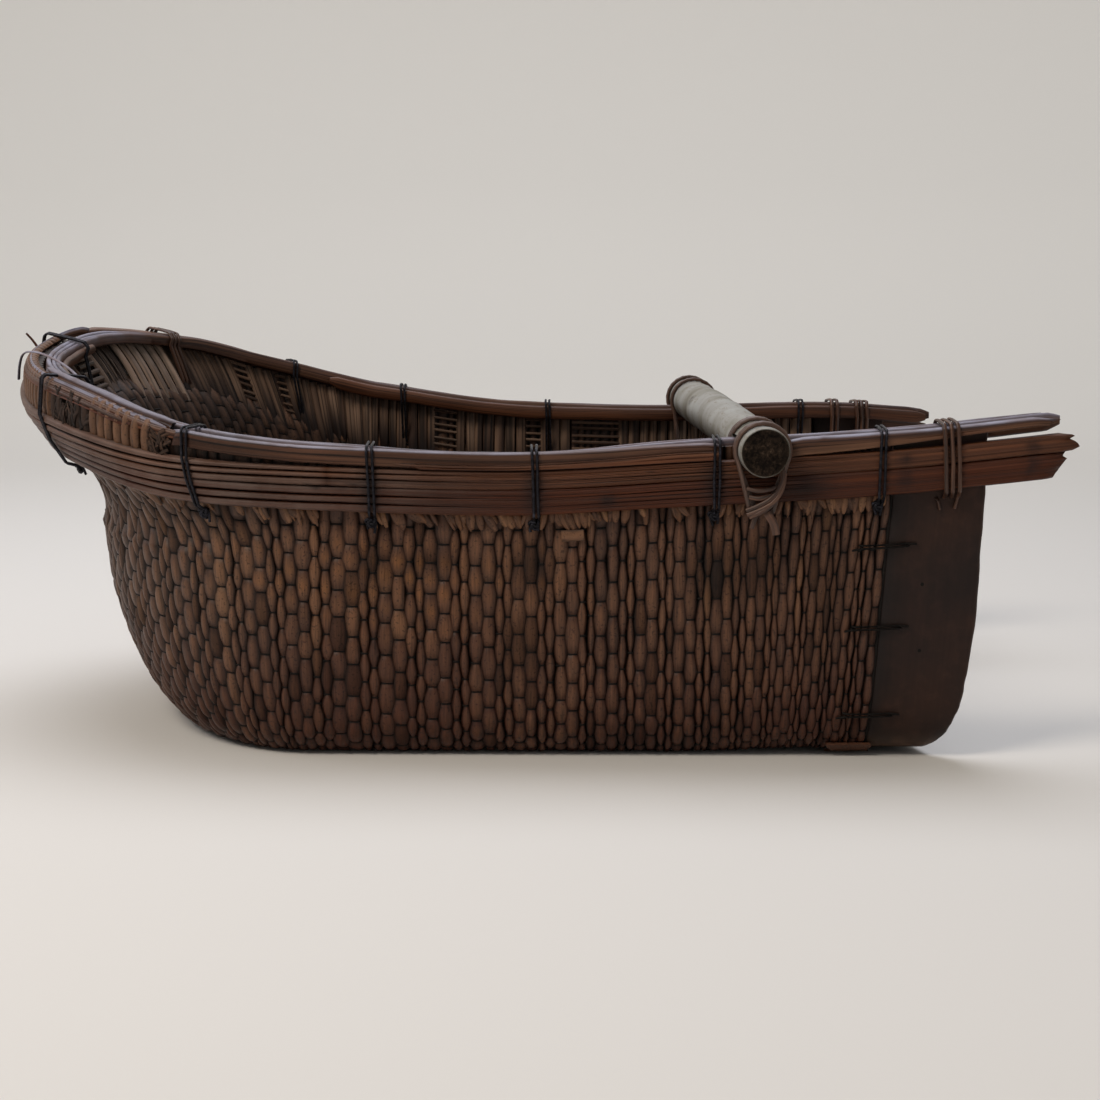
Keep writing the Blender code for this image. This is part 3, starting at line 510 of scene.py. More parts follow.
def board_finish():
    # Poplar board, planed thin, steamed and bent: dark red brown from handling, with clouds of dirt,
    # fine scratches, and pale bare wood on its worn edges.
    finish, tree, shader, marks = new_finish("bent_poplar_board", Specular_IOR_Level=0.25)
    # Grain lines 2 mm apart along the bend
    lines = add_node(tree, "ShaderNodeVectorMath", MULTIPLY, in_0=marks["strand"], in_1=(12, 420, 91))
    grain = add_node(tree, "ShaderNodeTexNoise", None, 0, Vector=lines, Scale=1.0, Detail=5.0)
    cloud = add_node(tree, "ShaderNodeTexNoise", None, 0, Vector=marks["place"], Scale=14.0, Detail=4.0)
    rub = add_node(tree, "ShaderNodeTexNoise", None, 0, Vector=marks["place"], Scale=140.0, Detail=3.0)
    base = add_node(tree, "ShaderNodeValToRGB", {"stops": (
        (0.35, "#20130f"), (0.5, "#291913"), (0.68, "#362117"))}, in_0=cloud)
    grains = add_node(tree, "ShaderNodeValToRGB", {"stops": ((0.3, 0.86), (0.7, 1.1))}, in_0=grain)
    scuffs = add_node(tree, "ShaderNodeValToRGB", {"stops": ((0.5, 0.92), (0.72, 1.3))}, in_0=rub)
    for layer in (grains, scuffs):
        base = add_node(tree, "ShaderNodeMix", DARKEN, 2, in_0=1.0, in_6=base, in_7=layer)
    rubbed = add_node(tree, "ShaderNodeValToRGB", {"stops": ((0.3, 0.45), (0.6, 1.0))}, in_0=rub)
    worn_and_sheen = add_node(tree, "ShaderNodeMath", MULTIPLY, in_0=marks["wear"], in_1=rubbed)
    # Here the darkening mark is a painted shadow of the weave's edge beside the seam
    for share, colour in ((marks["stain"], "#0c0808"), (worn_and_sheen, "#7d6350")):
        base = add_node(tree, "ShaderNodeMix", BLEND, 2, in_0=share, in_6=base, in_7=colour)
    rough = add_node(tree, "ShaderNodeValToRGB", {"stops": ((0.3, 0.45), (0.7, 0.62))}, in_0=cloud)
    bump = add_node(tree, "ShaderNodeBump", None, 0, Height=rub, Strength=0.18, Distance=0.3 * MM)
    link_shader(tree, shader, Base_Color=base, Roughness=rough, Normal=bump)
    return finish


def pole_finish():
    # Barked poplar pole, weathered: pale grey with brown flecks and scars where twigs were cut.
    finish, tree, shader, marks = new_finish("barked_poplar_pole", Roughness=0.52, Specular_IOR_Level=0.3)
    cloud = add_node(tree, "ShaderNodeTexNoise", None, 0, Vector=marks["place"], Scale=26.0, Detail=5.0)
    # Flecks of inner bark 2 mm wide and 12 mm long
    flecks = add_node(tree, "ShaderNodeVectorMath", MULTIPLY, in_0=marks["strand"], in_1=(80, 480, 91))
    fleck = add_node(tree, "ShaderNodeTexNoise", None, 0, Vector=flecks, Scale=1.0, Detail=4.0)
    base = add_node(tree, "ShaderNodeValToRGB", {"stops": (
        (0.28, "#51493d"), (0.42, "#737065"), (0.55, "#888680"), (0.75, "#9a9c98"))}, in_0=cloud)
    part = add_node(tree, "ShaderNodeValToRGB", {"stops": ((0.56, 0.0), (0.7, 0.65))}, in_0=fleck)
    # The darkening mark holds the twig scars and a painted shade on the underside
    for share, colour in ((part, "#6a5c4a"), (marks["stain"], "#33281e")):
        base = add_node(tree, "ShaderNodeMix", BLEND, 2, in_0=share, in_6=base, in_7=colour)
    bump = add_node(tree, "ShaderNodeBump", None, 0, Height=cloud, Strength=0.3, Distance=0.6 * MM)
    link_shader(tree, shader, Base_Color=base, Normal=bump)
    return finish


def end_grain_finish():
    # Sawn end of the pole: rough and black brown from dirt in the open pores, greyer at its edge.
    finish, tree, shader, marks = new_finish("sawn_end_grain", Roughness=0.9, Specular_IOR_Level=0.1)
    # Torn pores 2 mm across, coarser than the real ones so that they show
    rough = add_node(tree, "ShaderNodeTexNoise", None, 0, Vector=marks["place"], Scale=480.0, Detail=5.0,
                     Roughness=0.75)
    patch = add_node(tree, "ShaderNodeTexNoise", None, 0, Vector=marks["place"], Scale=90.0, Detail=3.0)
    base = add_node(tree, "ShaderNodeValToRGB", {"stops": (
        (0.35, "#0f0b08"), (0.48, "#211913"), (0.6, "#352a21"), (0.72, "#53473b"))}, in_0=rough)
    clouds = add_node(tree, "ShaderNodeValToRGB", {"stops": ((0.38, 0.45), (0.62, 1.35))}, in_0=patch)
    base = add_node(tree, "ShaderNodeMix", DARKEN, 2, in_0=1.0, in_6=base, in_7=clouds)
    base = add_node(tree, "ShaderNodeMix", BLEND, 2, in_0=marks["wear"], in_6=base, in_7="#4d443a")
    bump = add_node(tree, "ShaderNodeBump", None, 0, Height=rough, Strength=0.9, Distance=0.9 * MM)
    link_shader(tree, shader, Base_Color=base, Normal=bump)
    return finish


# The weave: willow rods that stand in the wall, held by rows of twine

# Rods stand two wide ones by two narrow ones, as shares of the mean width
wide_share, narrow_share = 1.19, 0.81
back_rods = 75
back_width = 7.4 * MM
wall_rows, floor_rows = 18, 20
first_row_drop = 10 * MM
# Neighbouring rods press into each other, so that nothing shows between them
rod_overlap = 1.22
crown_height, notch_height, inner_notch = 3.8 * MM, 1.9 * MM, 2.4 * MM
twine_radius = 0.55 * MM
plain_height = 2.6 * MM
# Round a rod's section, and along it from one row of twine to the next
ring_angles = np.radians([0, 32, 62, 90, 118, 148, 180, 225, 270, 315])
row_places, floor_places = (0.0, 0.1, 0.5, 0.9), (0.0, 0.5)
lean_start = 120 * MM
foot_pull = 8.5 * MM

# Dark stains on the near side of the weave: place along X, height, two sizes and a strength
weave_stains = (
    (-0.079, 0.120, 0.008, 0.012, 0.7), (0.017, 0.118, 0.010, 0.014, 0.75),
    (0.121, 0.116, 0.012, 0.020, 0.7), (0.004, 0.070, 0.006, 0.020, 0.6),
    (0.016, 0.060, 0.005, 0.010, 0.5), (0.150, 0.118, 0.016, 0.020, 0.55),
    (-0.045, 0.122, 0.020, 0.008, 0.35), (0.195, 0.10, 0.010, 0.05, 0.35),
    (-0.17, 0.12, 0.02, 0.02, 0.3),
)


def width_at(x):
    """Mean width of the rods along the side: finer towards the mouth."""
    return np.interp(x, [-0.12, 0.0, 0.12, 0.2], [back_width, 6.3 * MM, 5.5 * MM, 4.2 * MM])


def row_drops(x, count):
    """Lengths down a rod at the rows of twine: even at the back, and towards the mouth far apart at
    the top and close near the floor."""
    rows = np.arange(count - 1)
    at_back = np.interp(rows, [11, 14], [9.0, 8.4])
    at_mouth = np.interp(rows, [4, 9, 13], [11.8, 9.2, 7.6])
    share = np.interp(x, [-0.14, 0.13], [0, 1])
    drops = np.cumsum((at_back + (at_mouth - at_back) * share) * MM)
    return first_row_drop + np.concatenate([[0], drops])


def seam_x(level):
    """Place along X of the seam between the weave and the board."""
    low = smooth_table(side_height_shares + (1, 1, 1), np.asarray(level, float))
    return seam_reach - seam_slope * (1 - low)


def rod_run(run, level):
    """Run of a side rod lower down: near the seam the rods lean with it."""
    level = np.asarray(level, float)
    lean = (seam_reach - seam_x(level)) * smooth_step(lean_start, seam_reach, run_x(run))
    return run + (lean if run < turn_length / 2 else -lean)


def woven(run, level):
    """Places of the rods' outer face: at the back they stand up straighter and turn out to the strips
    just below them."""
    place = wall(run, level)
    angle = np.clip(run / half_width, 0, math.pi)
    pull = foot_pull * np.maximum((level - 6) * (7 - level), 0) * 4 * np.sin(angle)
    place[..., 0] += pull * np.sin(angle)
    place[..., 1] += pull * np.cos(angle)
    return place


def rod_columns():
    """Run and width of every rod, from the near end of the weave round the back to the far end."""
    near, x, index = [], seam_reach - 0.8 * MM, 0
    while True:
        width = width_at(x) * (wide_share if index % 4 < 2 else narrow_share)
        if x - width < centre_x:
            break
        near.append([near_run(x - width / 2), width])
        x -= width
        index += 1
    stretch = (x - centre_x) / len(near)
    for place, column in enumerate(near):
        column[0] += stretch * (place + 1)
    shares = [wide_share if (index + turn) % 4 < 2 else narrow_share for turn in range(back_rods)]
    total, run, back = sum(shares), 0.0, []
    for share in shares:
        width = turn_length * share / total
        back.append([run + width / 2, width])
        run += width
    far = [[turn_length - run, width] for run, width in reversed(near)]
    return near + back + far


def row_waver(rows, run):
    """Small rise and fall of the twine rows, alike for rods side by side."""
    return 1.0 * MM * (np.sin(run / 0.031 + rows * 1.9) + 0.7 * np.sin(run / 0.0173 + rows * 4.1))


def rod_course(run, low_level):
    """Level along a rod by its length, zero at the lower edge of the band and growing downwards."""
    levels = np.linspace(8.96, low_level, 360)
    places = wall(rod_run(run, levels), levels)
    lengths = np.concatenate([[0], np.cumsum(np.linalg.norm(np.diff(places, axis=0), axis=1))])
    lengths -= np.interp(7.0, levels[::-1], lengths[::-1])
    return lengths, levels


def row_lengths(run, x, lengths, on_side):
    """Length along a rod at each row of twine."""
    if on_side:
        rows = row_drops(x, wall_rows + 1)
        floor = np.linspace(rows[-1], lengths[-1], floor_rows + 1)[1:]
        rows = np.concatenate([rows, floor])
        fade = np.where(np.arange(len(rows)) < len(rows) - 1, 1.0, 0.0)
    else:
        rows = row_drops(x, 50)
        rows = rows[rows < lengths[-1] - 4.5 * MM]
        fade = 1.0
    return rows + row_waver(np.arange(len(rows)), run) * fade


def bump_shape(part, slim, low, narrowing=1.0):
    """Height and width of a rod between two turns of the twine that bind the same face."""
    away = np.abs(2 * part - 1)
    height = low + (crown_height - low) * (1 - away ** 2.8) ** 0.6
    width = 1.04 - narrowing * (0.32 + 0.28 * slim) * away ** (2.8 - 1.0 * slim)
    return height, width


def add_rod(bundle, index, kk, middle, across_way, out_way, half, marks, lengths):
    """Flattened rod that swells between its bindings, on its two faces by turns. The places kk along
    it are counted in rows of twine."""
    slim = 0.0 if index % 4 < 2 else 1.0
    bumpy = np.random.default_rng(index * 7 + 1)
    knots = np.arange(len(kk) // 4 + 6) * 2 - 4.0
    lump = np.interp(kk, knots, np.clip(1 + 0.07 * bumpy.standard_normal(len(knots)), 0.82, 1.05))
    girth = np.interp(kk, knots, 1 + 0.09 * bumpy.standard_normal(len(knots)))
    shift = np.interp(kk, knots, 0.28 * MM * bumpy.standard_normal(len(knots)))
    slims = np.clip(slim + np.interp(kk, knots, 0.3 * bumpy.standard_normal(len(knots))), -0.2, 1.2)
    outer_part = ((kk - (index + 1)) / 2) % 1.0
    inner_part = ((kk - index) / 2) % 1.0
    out_high, out_wide = bump_shape(outer_part, slims, notch_height)
    in_high, in_wide = bump_shape(inner_part, slims, inner_notch, 0.25)
    out_high = out_high * lump
    plain = smooth_step(0.0, 1.0, -kk)
    out_high, in_high = (high * (1 - plain) + plain_height * plain for high in (out_high, in_high))
    out_wide, in_wide = (wide * (1 - plain) + 0.86 * plain for wide in (out_wide, in_wide))
    bump_number = np.floor((kk - (index + 1) % 2) / 2).astype(int) + 3
    bump_tone = 0.13 * bumpy.standard_normal(bump_number.max() + 2)[bump_number]
    gold = np.clip(bumpy.uniform(0.2, 1.15, bump_number.max() + 2), 0, 1)[bump_number]
    dirty = (bumpy.uniform(0, 1, bump_number.max() + 2) < 0.1)[bump_number] * 0.35
    worn_and_sheen = marks["gold"] * gold * bell(outer_part - 0.5, 0.24) * (kk > 0)
    # Painted shade on the inner faces below the slats: darkest just below them, lighter further down, and
    # darker again deep inside
    painted_inner_shade = 0.5 * smooth_step(-0.5, 1.5, kk) - 0.3 * smooth_step(2, 6, kk) + 0.2 * smooth_step(7, 14, kk)
    rings, crowns, wears, stains = [], [], [], []
    for angle in ring_angles:
        c, s = math.cos(angle), math.sin(angle)
        face_up = s > 1e-6
        # Flanks of neighbouring rods meet deep between the crowns
        flank = (out_wide + in_wide) * 0.6
        wide = out_wide if face_up else (in_wide * 0.92 if s < -1e-6 else flank)
        high = out_high if s > -1e-6 else in_high
        across = np.sign(c) * abs(c) ** 0.9 * half * wide * girth + shift
        up = np.sign(s) * abs(s) ** 0.95 * high
        rings.append(middle + across_way * across[:, None] + out_way * up[:, None])
        # The crown falls on the flanks and at the notches; the finish paints shade where it is low, and the
        # border sets how far that shade reaches
        low = notch_height if face_up else inner_notch
        raised = np.clip(((out_high if face_up else in_high) - low) / (crown_height - low), 0, 1)
        crowns.append(np.clip(abs(s) ** marks["border"] * (0.5 + 0.5 * raised ** 0.7) + 0.05, 0, 1))
        wears.append(worn_and_sheen * (abs(s) ** 3 if face_up else 0))
        stains.append(np.clip(marks["stain"] + dirty if s > -1e-6 else painted_inner_shade, 0, 0.85))
    tone = np.clip(0.52 + 0.13 * bumpy.standard_normal() + bump_tone, 0, 1)
    across = np.arange(len(ring_angles))[None] * 1.4 * MM
    bundle.add_rings(np.stack(rings, 1), tone=tone, crown=np.stack(crowns, 1), along=lengths,
                     across=across, wear=np.stack(wears, 1), stain=np.stack(stains, 1))


def weave_rods(finish, twine):
    """All rods, one mesh for each region, and the rows of twine between them."""
    columns = rod_columns()
    count = len(columns)
    sides = [Bundle("willow_rods_near"), Bundle("willow_rods_back"), Bundle("willow_rods_far")]
    rows_of, course_of = [], []
    near_count = (count - back_rods) // 2
    for index, (run, width) in enumerate(columns):
        on_side = index < near_count or index >= count - near_count
        x = run_x(run) if on_side else centre_x - 0.13 * math.sin(run / half_width)
        lengths, levels = rod_course(run, 0.0 if on_side else 1.86)
        rows = row_lengths(run, x, lengths, on_side)
        rows_of.append(rows)
        course_of.append((lengths, levels))
        last = len(rows) - 1
        numbers = [row + part for row in range(last)
                   for part in (floor_places if on_side and row >= wall_rows else row_places)]
        numbers.append(float(last))
        below = [] if on_side else [last + 0.4, last + 0.8]
        kk = np.concatenate([np.linspace(-3.4, -0.25, 6), numbers, below])
        place = np.interp(kk, np.arange(last + 1), rows)
        place = np.where(kk < 0, rows[0] + kk / 3.4 * (rows[0] - lengths[0] - 0.5 * MM), place)
        place = np.where(kk > last, rows[-1] + (kk - last) * (rows[1] - rows[0]), place)
        level = np.interp(place, lengths, levels)
        runs = rod_run(run, level)
        reach = 1 * MM
        sideways = wall(runs + reach, level) - wall(runs - reach, level)
        stretch = np.linalg.norm(sideways, axis=-1) / (2 * reach)
        out_way = wall_out(runs, level)
        middle = woven(runs, level) - out_way * weave_thickness / 2
        # The third row of bumps is rubbed golden, most of all near the middle of the side
        gold = bell(kk - 3.2, 3.0) * (0.12 + 0.88 * bell(x + 0.075, 0.085))
        # Wider painted shade at the rods' edges towards the mouth and round the back
        border = 1.15 + 0.45 * float(smooth_step(0.0, 0.13, x) + smooth_step(-0.10, -0.16, x))
        stain = np.zeros(len(kk))
        if run < 0:
            for at_x, at_z, size_x, size_z, strength in weave_stains:
                stain += strength * bell(x - at_x, size_x) * bell(middle[:, 2] - at_z, size_z)
        region = 0 if index < near_count else (2 if index >= count - near_count else 1)
        add_rod(sides[region], index, kk, middle, unit(sideways), out_way,
                width * rod_overlap * stretch / 2, {"gold": gold, "stain": stain, "border": border}, place)
    floor = floor_rods(columns, rows_of, course_of, near_count)
    replaced = ("woven_body",)
    for bundle in sides + [floor]:
        bundle.build(finish, "willow_rods", replaced, sharp=80)
        replaced = ()
    weave_twine(columns, rows_of, course_of, twine)
    return columns


def floor_rods(columns, rows_of, course_of, near_count):
    """Rods of the floor's round end, which lie across it inside the foot of the back."""
    bundle = Bundle("willow_rods_floor")
    run = columns[near_count - 1][0]
    lengths, levels = course_of[near_count - 1]
    rows = rows_of[near_count - 1]
    edge = wall(run, np.interp(rows, lengths, levels))[:, 1]
    number = np.arange(len(rows))
    number = np.concatenate([number, 2 * number[-1] - number[:-1][::-1]])
    edge = np.concatenate([edge, -edge[:-1][::-1]])
    foot_level, tuck = 1.95, 5.5 * MM
    reach_x = body_back_reach * smooth_table(back_reach_shares, foot_level)
    reach_y = body_half_width * smooth_table(side_reach_shares, foot_level)
    x, index = centre_x, near_count
    while True:
        wide = back_width * (wide_share if index % 4 < 2 else narrow_share)
        at_x = x - wide / 2
        if centre_x - at_x > reach_x - 2 * MM:
            break
        half_span = reach_y * math.sqrt(1 - ((centre_x - at_x) / reach_x) ** 2) + tuck
        numbers = (number[:-1, None] + np.array(floor_places)).reshape(-1)
        y = np.interp(numbers, number, edge)
        kept = np.abs(y) < half_span
        numbers, y = numbers[kept], y[kept]
        if len(y) > 3:
            middle = np.stack([np.full(len(y), at_x), y, np.full(len(y), weave_thickness / 2)], -1)
            plain = {"gold": np.zeros(len(y)), "stain": np.zeros(len(y)), "border": 0.9}
            add_rod(bundle, index, numbers, middle, np.array([[-1.0, 0, 0]]), np.array([[0, 0, -1.0]]),
                    wide * rod_overlap / 2, plain, y)
        x -= wide
        index += 1
    return bundle


def weave_twine(columns, rows_of, course_of, finish):
    """Rows of twine, outside one rod and inside the next."""
    bundle = Bundle("twine_rows")
    for row in range(wall_rows + floor_rows):
        stretches, stretch = [], []
        for index in range(len(columns) + 1):
            if index < len(columns) and row < len(rows_of[index]):
                stretch.append(index)
            elif stretch:
                stretches.append(stretch)
                stretch = []
        for stretch in stretches:
            runs, levels, outs = [], [], []
            for index in stretch:
                run, width = columns[index]
                lengths, levels_of = course_of[index]
                level = np.interp(rows_of[index][row], lengths, levels_of)
                outside = (index + row) % 2 == 1
                out = notch_height if outside else -inner_notch
                for side in (-0.27, 0.27) if row < wall_rows else (0.0,):
                    runs.append(float(rod_run(run, level)) + side * width)
                    levels.append(level)
                    outs.append(out + (0.5 if outside else -0.5) * twine_radius - weave_thickness / 2)
            if len(runs) > 3:
                runs, levels, outs = np.array(runs), np.array(levels), np.array(outs)
                out_way = wall_out(runs, levels)
                add_strand(bundle, woven(runs, levels) + out_way * outs[:, None], twine_radius,
                           twine_radius, out_way, sides=4, tone=draw.uniform())
    # A cord beds the last rod against the board
    for run_of in (near_run, far_run):
        levels = np.linspace(0.05, 6.95, 60)
        runs = run_of(seam_x(levels) - 0.3 * MM)
        add_strand(bundle, off_wall(runs, levels, -3.4 * MM), 1.6 * MM, 1.9 * MM, wall_out(runs, levels),
                   tone=0.5)
    bundle.build(finish, "dark_twine", sharp=80)


# Rim: strips of split bamboo

def rounded_line(corners, radius, steps=4):
    """Line through corners, each turned with a bend of about the radius."""
    corners = np.asarray(corners, float)
    line = [corners[0]]
    for before, here, after in zip(corners, corners[1:], corners[2:]):
        back, ahead = before - here, after - here
        back_length, ahead_length = np.linalg.norm(back), np.linalg.norm(ahead)
        cosine = np.clip(np.dot(back, ahead) / (back_length * ahead_length), -1, 1)
        reach = radius / max(math.tan(math.acos(cosine) / 2), 1e-3)
        reach = min(reach, 0.48 * back_length, 0.48 * ahead_length)
        first, last = here + back / back_length * reach, here + ahead / ahead_length * reach
        for part in np.linspace(0, 1, steps + 1):
            line.append(first * (1 - part) ** 2 + here * 2 * part * (1 - part) + last * part ** 2)
    line.append(corners[-1])
    return np.array(line)


def wander(runs, size, reach):
    """Slow wandering along a strip, of about a size and a reach."""
    total = np.zeros_like(runs)
    for share in (1.0, 0.43, 0.21):
        total += share * np.sin(runs / (reach * share) * 2 * math.pi + draw.uniform(0, 6.28))
    return size * total / 1.64


def stain_marks(x, y_side, level, stains):
    """Strength of the dark stains on the near side."""
    total = np.zeros_like(x)
    for place, at_level, size, tall, strength in stains:
        total += strength * bell(x - place, size * MM) * bell(level - at_level, tall)
    return np.clip(np.where(y_side, total, 0), 0, 0.92)


# Dark stains on the near outer strips: place along X, level, size along in mm, size in levels, strength
near_stains = (
    (-0.079, 7.5, 6, 0.6, 0.8), (0.017, 7.5, 6, 0.6, 0.75), (0.122, 7.5, 7, 0.7, 0.7),
    (0.060, 7.22, 3.5, 0.13, 0.9), (0.233, 7.72, 4, 0.14, 0.75), (0.233, 7.3, 4, 0.2, 0.7),
    (0.308, 7.72, 4, 0.15, 0.75), (0.308, 7.3, 3.5, 0.2, 0.7), (0.176, 7.3, 12, 0.25, 0.6),
    (-0.119, 7.53, 4, 0.05, 0.8), (-0.111, 7.47, 3, 0.05, 0.75), (-0.103, 7.52, 5, 0.04, 0.8),
    (-0.096, 7.46, 2, 0.06, 0.75), (-0.089, 7.55, 4, 0.05, 0.7), (-0.100, 7.62, 9, 0.03, 0.5),
    (-0.127, 7.6, 5, 0.04, 0.6), (-0.010, 7.72, 2, 0.08, 0.5), (0.003, 7.7, 3, 0.06, 0.4),
    (0.086, 7.78, 2, 0.05, 0.6),
)
# Nodes of the bamboo: place along X, and the levels between which they lie
near_nodes = ((-0.105, 7.5, 8.0), (0.079, 7.0, 7.5))
back_nodes = (58, 99, 147)


def outer_strip(name, start, end, low, high, grooves, tips, finish, slot_name, replaced):
    """Wide bamboo strip outside the weave: split lengthwise by grooves that open round the back
    into separate splints, with nodes, stains and broken tips."""
    count = int((end - start) / (4 * MM))
    runs = np.linspace(start, end, count)
    centres = [place + wander(runs, 0.009, 0.16) for place, *_ in grooves]
    edges = np.array([np.zeros(count)] + centres + [np.ones(count)])
    columns = [edges[0]]
    for number, centre in enumerate(centres):
        columns += [(edges[number] + centre) / 2, centre - 0.022, centre, centre + 0.022]
    share = np.stack(columns + [(edges[-2] + 1) / 2, edges[-1]], 1)
    run = np.broadcast_to(runs[:, None], share.shape)
    depth = np.zeros_like(run)
    openness = smooth_step(-0.13, 0.02, runs)
    openness = openness * (1 - 0.5 * smooth_step(turn_length - 0.1, turn_length + 0.1, runs))
    mouth = smooth_step(-0.30, -0.345, runs) + smooth_step(turn_length + 0.30, turn_length + 0.345, runs)
    for (place, wide, deep, round_deep, at_mouth), centre in zip(grooves, centres):
        strength = (deep * MM * (0.75 + 0.4 * np.sin(runs / 0.037 + place * 40)) * (1 - openness)
                    + round_deep * MM * openness) * (1 - mouth * (1 - at_mouth))
        width = 1.3 * wide * (1 - openness) + 0.05 * openness
        depth += strength[:, None] * np.exp(-np.abs((share - centre[:, None]) / width[:, None]) ** 1.6)
    # Painted shade in the grooves: the crown falls with their depth, and the finish darkens it
    crown = 1 - np.clip(depth / (0.42 + 1.8 * openness[:, None]) / MM, 0, 1)
    edge = np.abs(2 * share - 1)
    out = strip_gap + strip_thickness - depth - (0.7 + 0.8 * openness[:, None]) * MM * edge ** 9
    out = out + wander(runs, 0.2 * MM, 0.2)[:, None]
    out = out + 0.25 * MM * np.sin(share * 17 + wander(runs, 1.0, 0.3)[:, None])
    level = low + (high - low) * (0.012 + 0.976 * share)
    level = level + (wander(runs, 0.008, 0.22)[:, None] * (2 * share - 1))
    x = run_x(run)
    near_side = run < 0
    for place, node_low, node_high in near_nodes:
        if node_low < (low + high) / 2 < node_high:
            out = out + 0.5 * MM * bell(x - place, 0.9 * MM) * near_side
            crown = crown * (1 - 0.75 * bell(x - place - 1.3 * MM, 0.6 * MM) * near_side)
    for turned in back_nodes:
        out = out + 0.6 * MM * bell(run - turn_run(turned), 1.0 * MM)
    for tip_run, sign, pattern in ((start, 1, tips[0]), (end, -1, tips[1])):
        ragged = np.interp(share, np.linspace(0, 1, len(pattern)), pattern) * MM
        run = run + sign * ragged * near_end(run, tip_run, 45 * MM)
        thin = near_end(runs, tip_run, 9 * MM)[:, None] ** 1.5
        out = out - thin * 2.6 * MM
    face = off_wall(run, level, out)
    inner_low = off_wall(run[:, 0], level[:, 0], strip_gap)[:, None]
    inner_high = off_wall(run[:, -1], level[:, -1], strip_gap)[:, None]
    rings = np.concatenate([inner_low, face, inner_high], 1)

    def padded(value):
        return np.concatenate([value[:, :1], value, value[:, -1:]], 1)

    bundle = Bundle(name)
    # Painted highlight: the crowns of the open splints round the back get the pale top colour
    bundle.add_rings(rings, tone=padded(0.5 + 0.25 * np.sin(share * 9 + 2 * low)), crown=padded(crown),
                     along=padded(run), across=padded(share * strip_height),
                     stain=padded(stain_marks(x, near_side, level, near_stains)),
                     wear=padded(0.3 * openness[:, None] * crown ** 2))
    bundle.build(finish, slot_name, replaced, sharp=70)


def cap_strip(name, start, end, drop_low, thickness, height, finish, slot_name, replaced,
              wear=0.7, out_shift=0.0, tips=(6, 6), nodes=(), tone=0.5, top_only=0.0, toned=None):
    """Strip that caps the weave's top on its outer side, its upper edge painted pale: a painted sheen of
    the light from above on skin polished by handling. The drop of its lower edge and its height are
    each one length or a length for each run."""
    count = max(int((end - start) / (3 * MM)), 8)
    runs = np.linspace(start, end, count)
    inner = strip_gap + out_shift
    outer = inner + thickness
    if callable(height):
        height = height(runs)
    if callable(drop_low):
        drop_low = drop_low(runs)
    height = height + wander(runs, 0.25 * MM, 0.18)
    low = np.minimum(drop_low, band_drop(runs)) - piece_gap
    low_level = level_at_drop(runs, low)
    lift = height - (low - weave_top_drop)
    bulge = wander(runs, 0.15 * MM, 0.11)
    ease = 1.5 * MM
    section = []
    for part in (0.0, 0.33, 0.66, 1.0):
        section.append((low_level + (9 - low_level) * part, inner, (lift - ease) * part))
    eased = [(ease * (1 - math.cos(turned)), lift - ease * (1 - math.sin(turned)))
             for turned in map(math.radians, (22, 45, 68))]
    section += [(9, inner + away, up) for away, up in eased]
    for part in (0.12, 0.37, 0.63, 0.88):
        crest = 0.35 * MM * math.sin(math.pi * part)
        section.append((9, inner + ease + (thickness - 2 * ease) * part, lift + crest))
    section += [(9, outer - away, up) for away, up in eased[::-1]]
    for part in (1.0, 0.75, 0.5, 0.25, 0.06):
        groove = 0.5 * MM * (part == 0.5) * (1 + np.sin(runs / 0.021))
        section.append((low_level + (9 - low_level) * part, outer + bulge * part - groove,
                        (lift - ease) * part))
    section.append((low_level, outer - 1.2 * MM, 0.0))
    size = len(section)
    levels, outs, lifts = (np.stack([np.broadcast_to(value, runs.shape) for value in column], 1)
                           for column in zip(*section))
    run = np.repeat(runs[:, None], size, 1)
    across = np.cumsum(np.concatenate([[0], np.hypot(np.diff(outs[count // 2]), np.diff(
        lifts[count // 2] + levels[count // 2] * 3 * MM))]))
    torn = np.arange(0, size, 3)
    ragged = np.interp(np.arange(size), torn, draw.uniform(0, 1, len(torn)))
    for tip_run, sign, tip in ((start, 1, tips[0]), (end, -1, tips[1])):
        run = run + sign * ragged[None] * tip * MM * near_end(run, tip_run, 30 * MM)
        thin = near_end(runs, tip_run, 11 * MM)[:, None] ** 1.4
        mid_out = (inner + outer) / 2
        outs = outs + (mid_out - outs) * 0.6 * thin
        lifts = lifts - 1.4 * MM * thin * (lifts > 0)
    for node in nodes:
        ridge = bell(run - node, 1.1 * MM)
        outs = outs + 0.55 * MM * ridge * (outs > inner + 2 * MM)
        lifts = lifts + 0.5 * MM * ridge * (levels > 8.99)
    rings = off_wall(run, levels, outs, lifts)
    place = np.arange(size)
    # Painted sheen on the top and upper corners of the strip, less on its outer face
    top = np.clip((place - 3.2) / 1.5, 0, 1) * np.clip((14.6 - place) / 1.6, 0, 1)
    top = top * (1 - top_only * (place > 12)) * (1 - 0.6 * (place > 13) * (top_only > 0))
    rubbed = toned(runs)[:, None] if toned else np.ones((1, 1))
    # Painted shade at the edges where the strip lies on the weave, and a painted shadow in the groove along
    # its face
    crown = np.ones(size)
    crown[[0, 16, -1]] = 0.2, 0.55, 0.1
    bundle = Bundle(name)
    bundle.add_rings(rings, tone=tone, crown=crown[None], along=run, across=across[None],
                     wear=wear * top[None] * rubbed, stain=0.4 * (1 - rubbed))
    bundle.build(finish, slot_name, replaced, sharp=60)


def sheen_and_wear_share(runs, dull_x=0.06, reach=0.05):
    """Share of the pale top along the rim, a painted sheen on skin polished by hands: full on the near side
    and the back, duller in the middle of the near side, and faint on the far side.
    """
    far = smooth_step(turn_run(112), turn_run(130), runs)
    middle = bell(runs - near_run(dull_x), reach)
    return 1 - 0.8 * far - 0.65 * middle


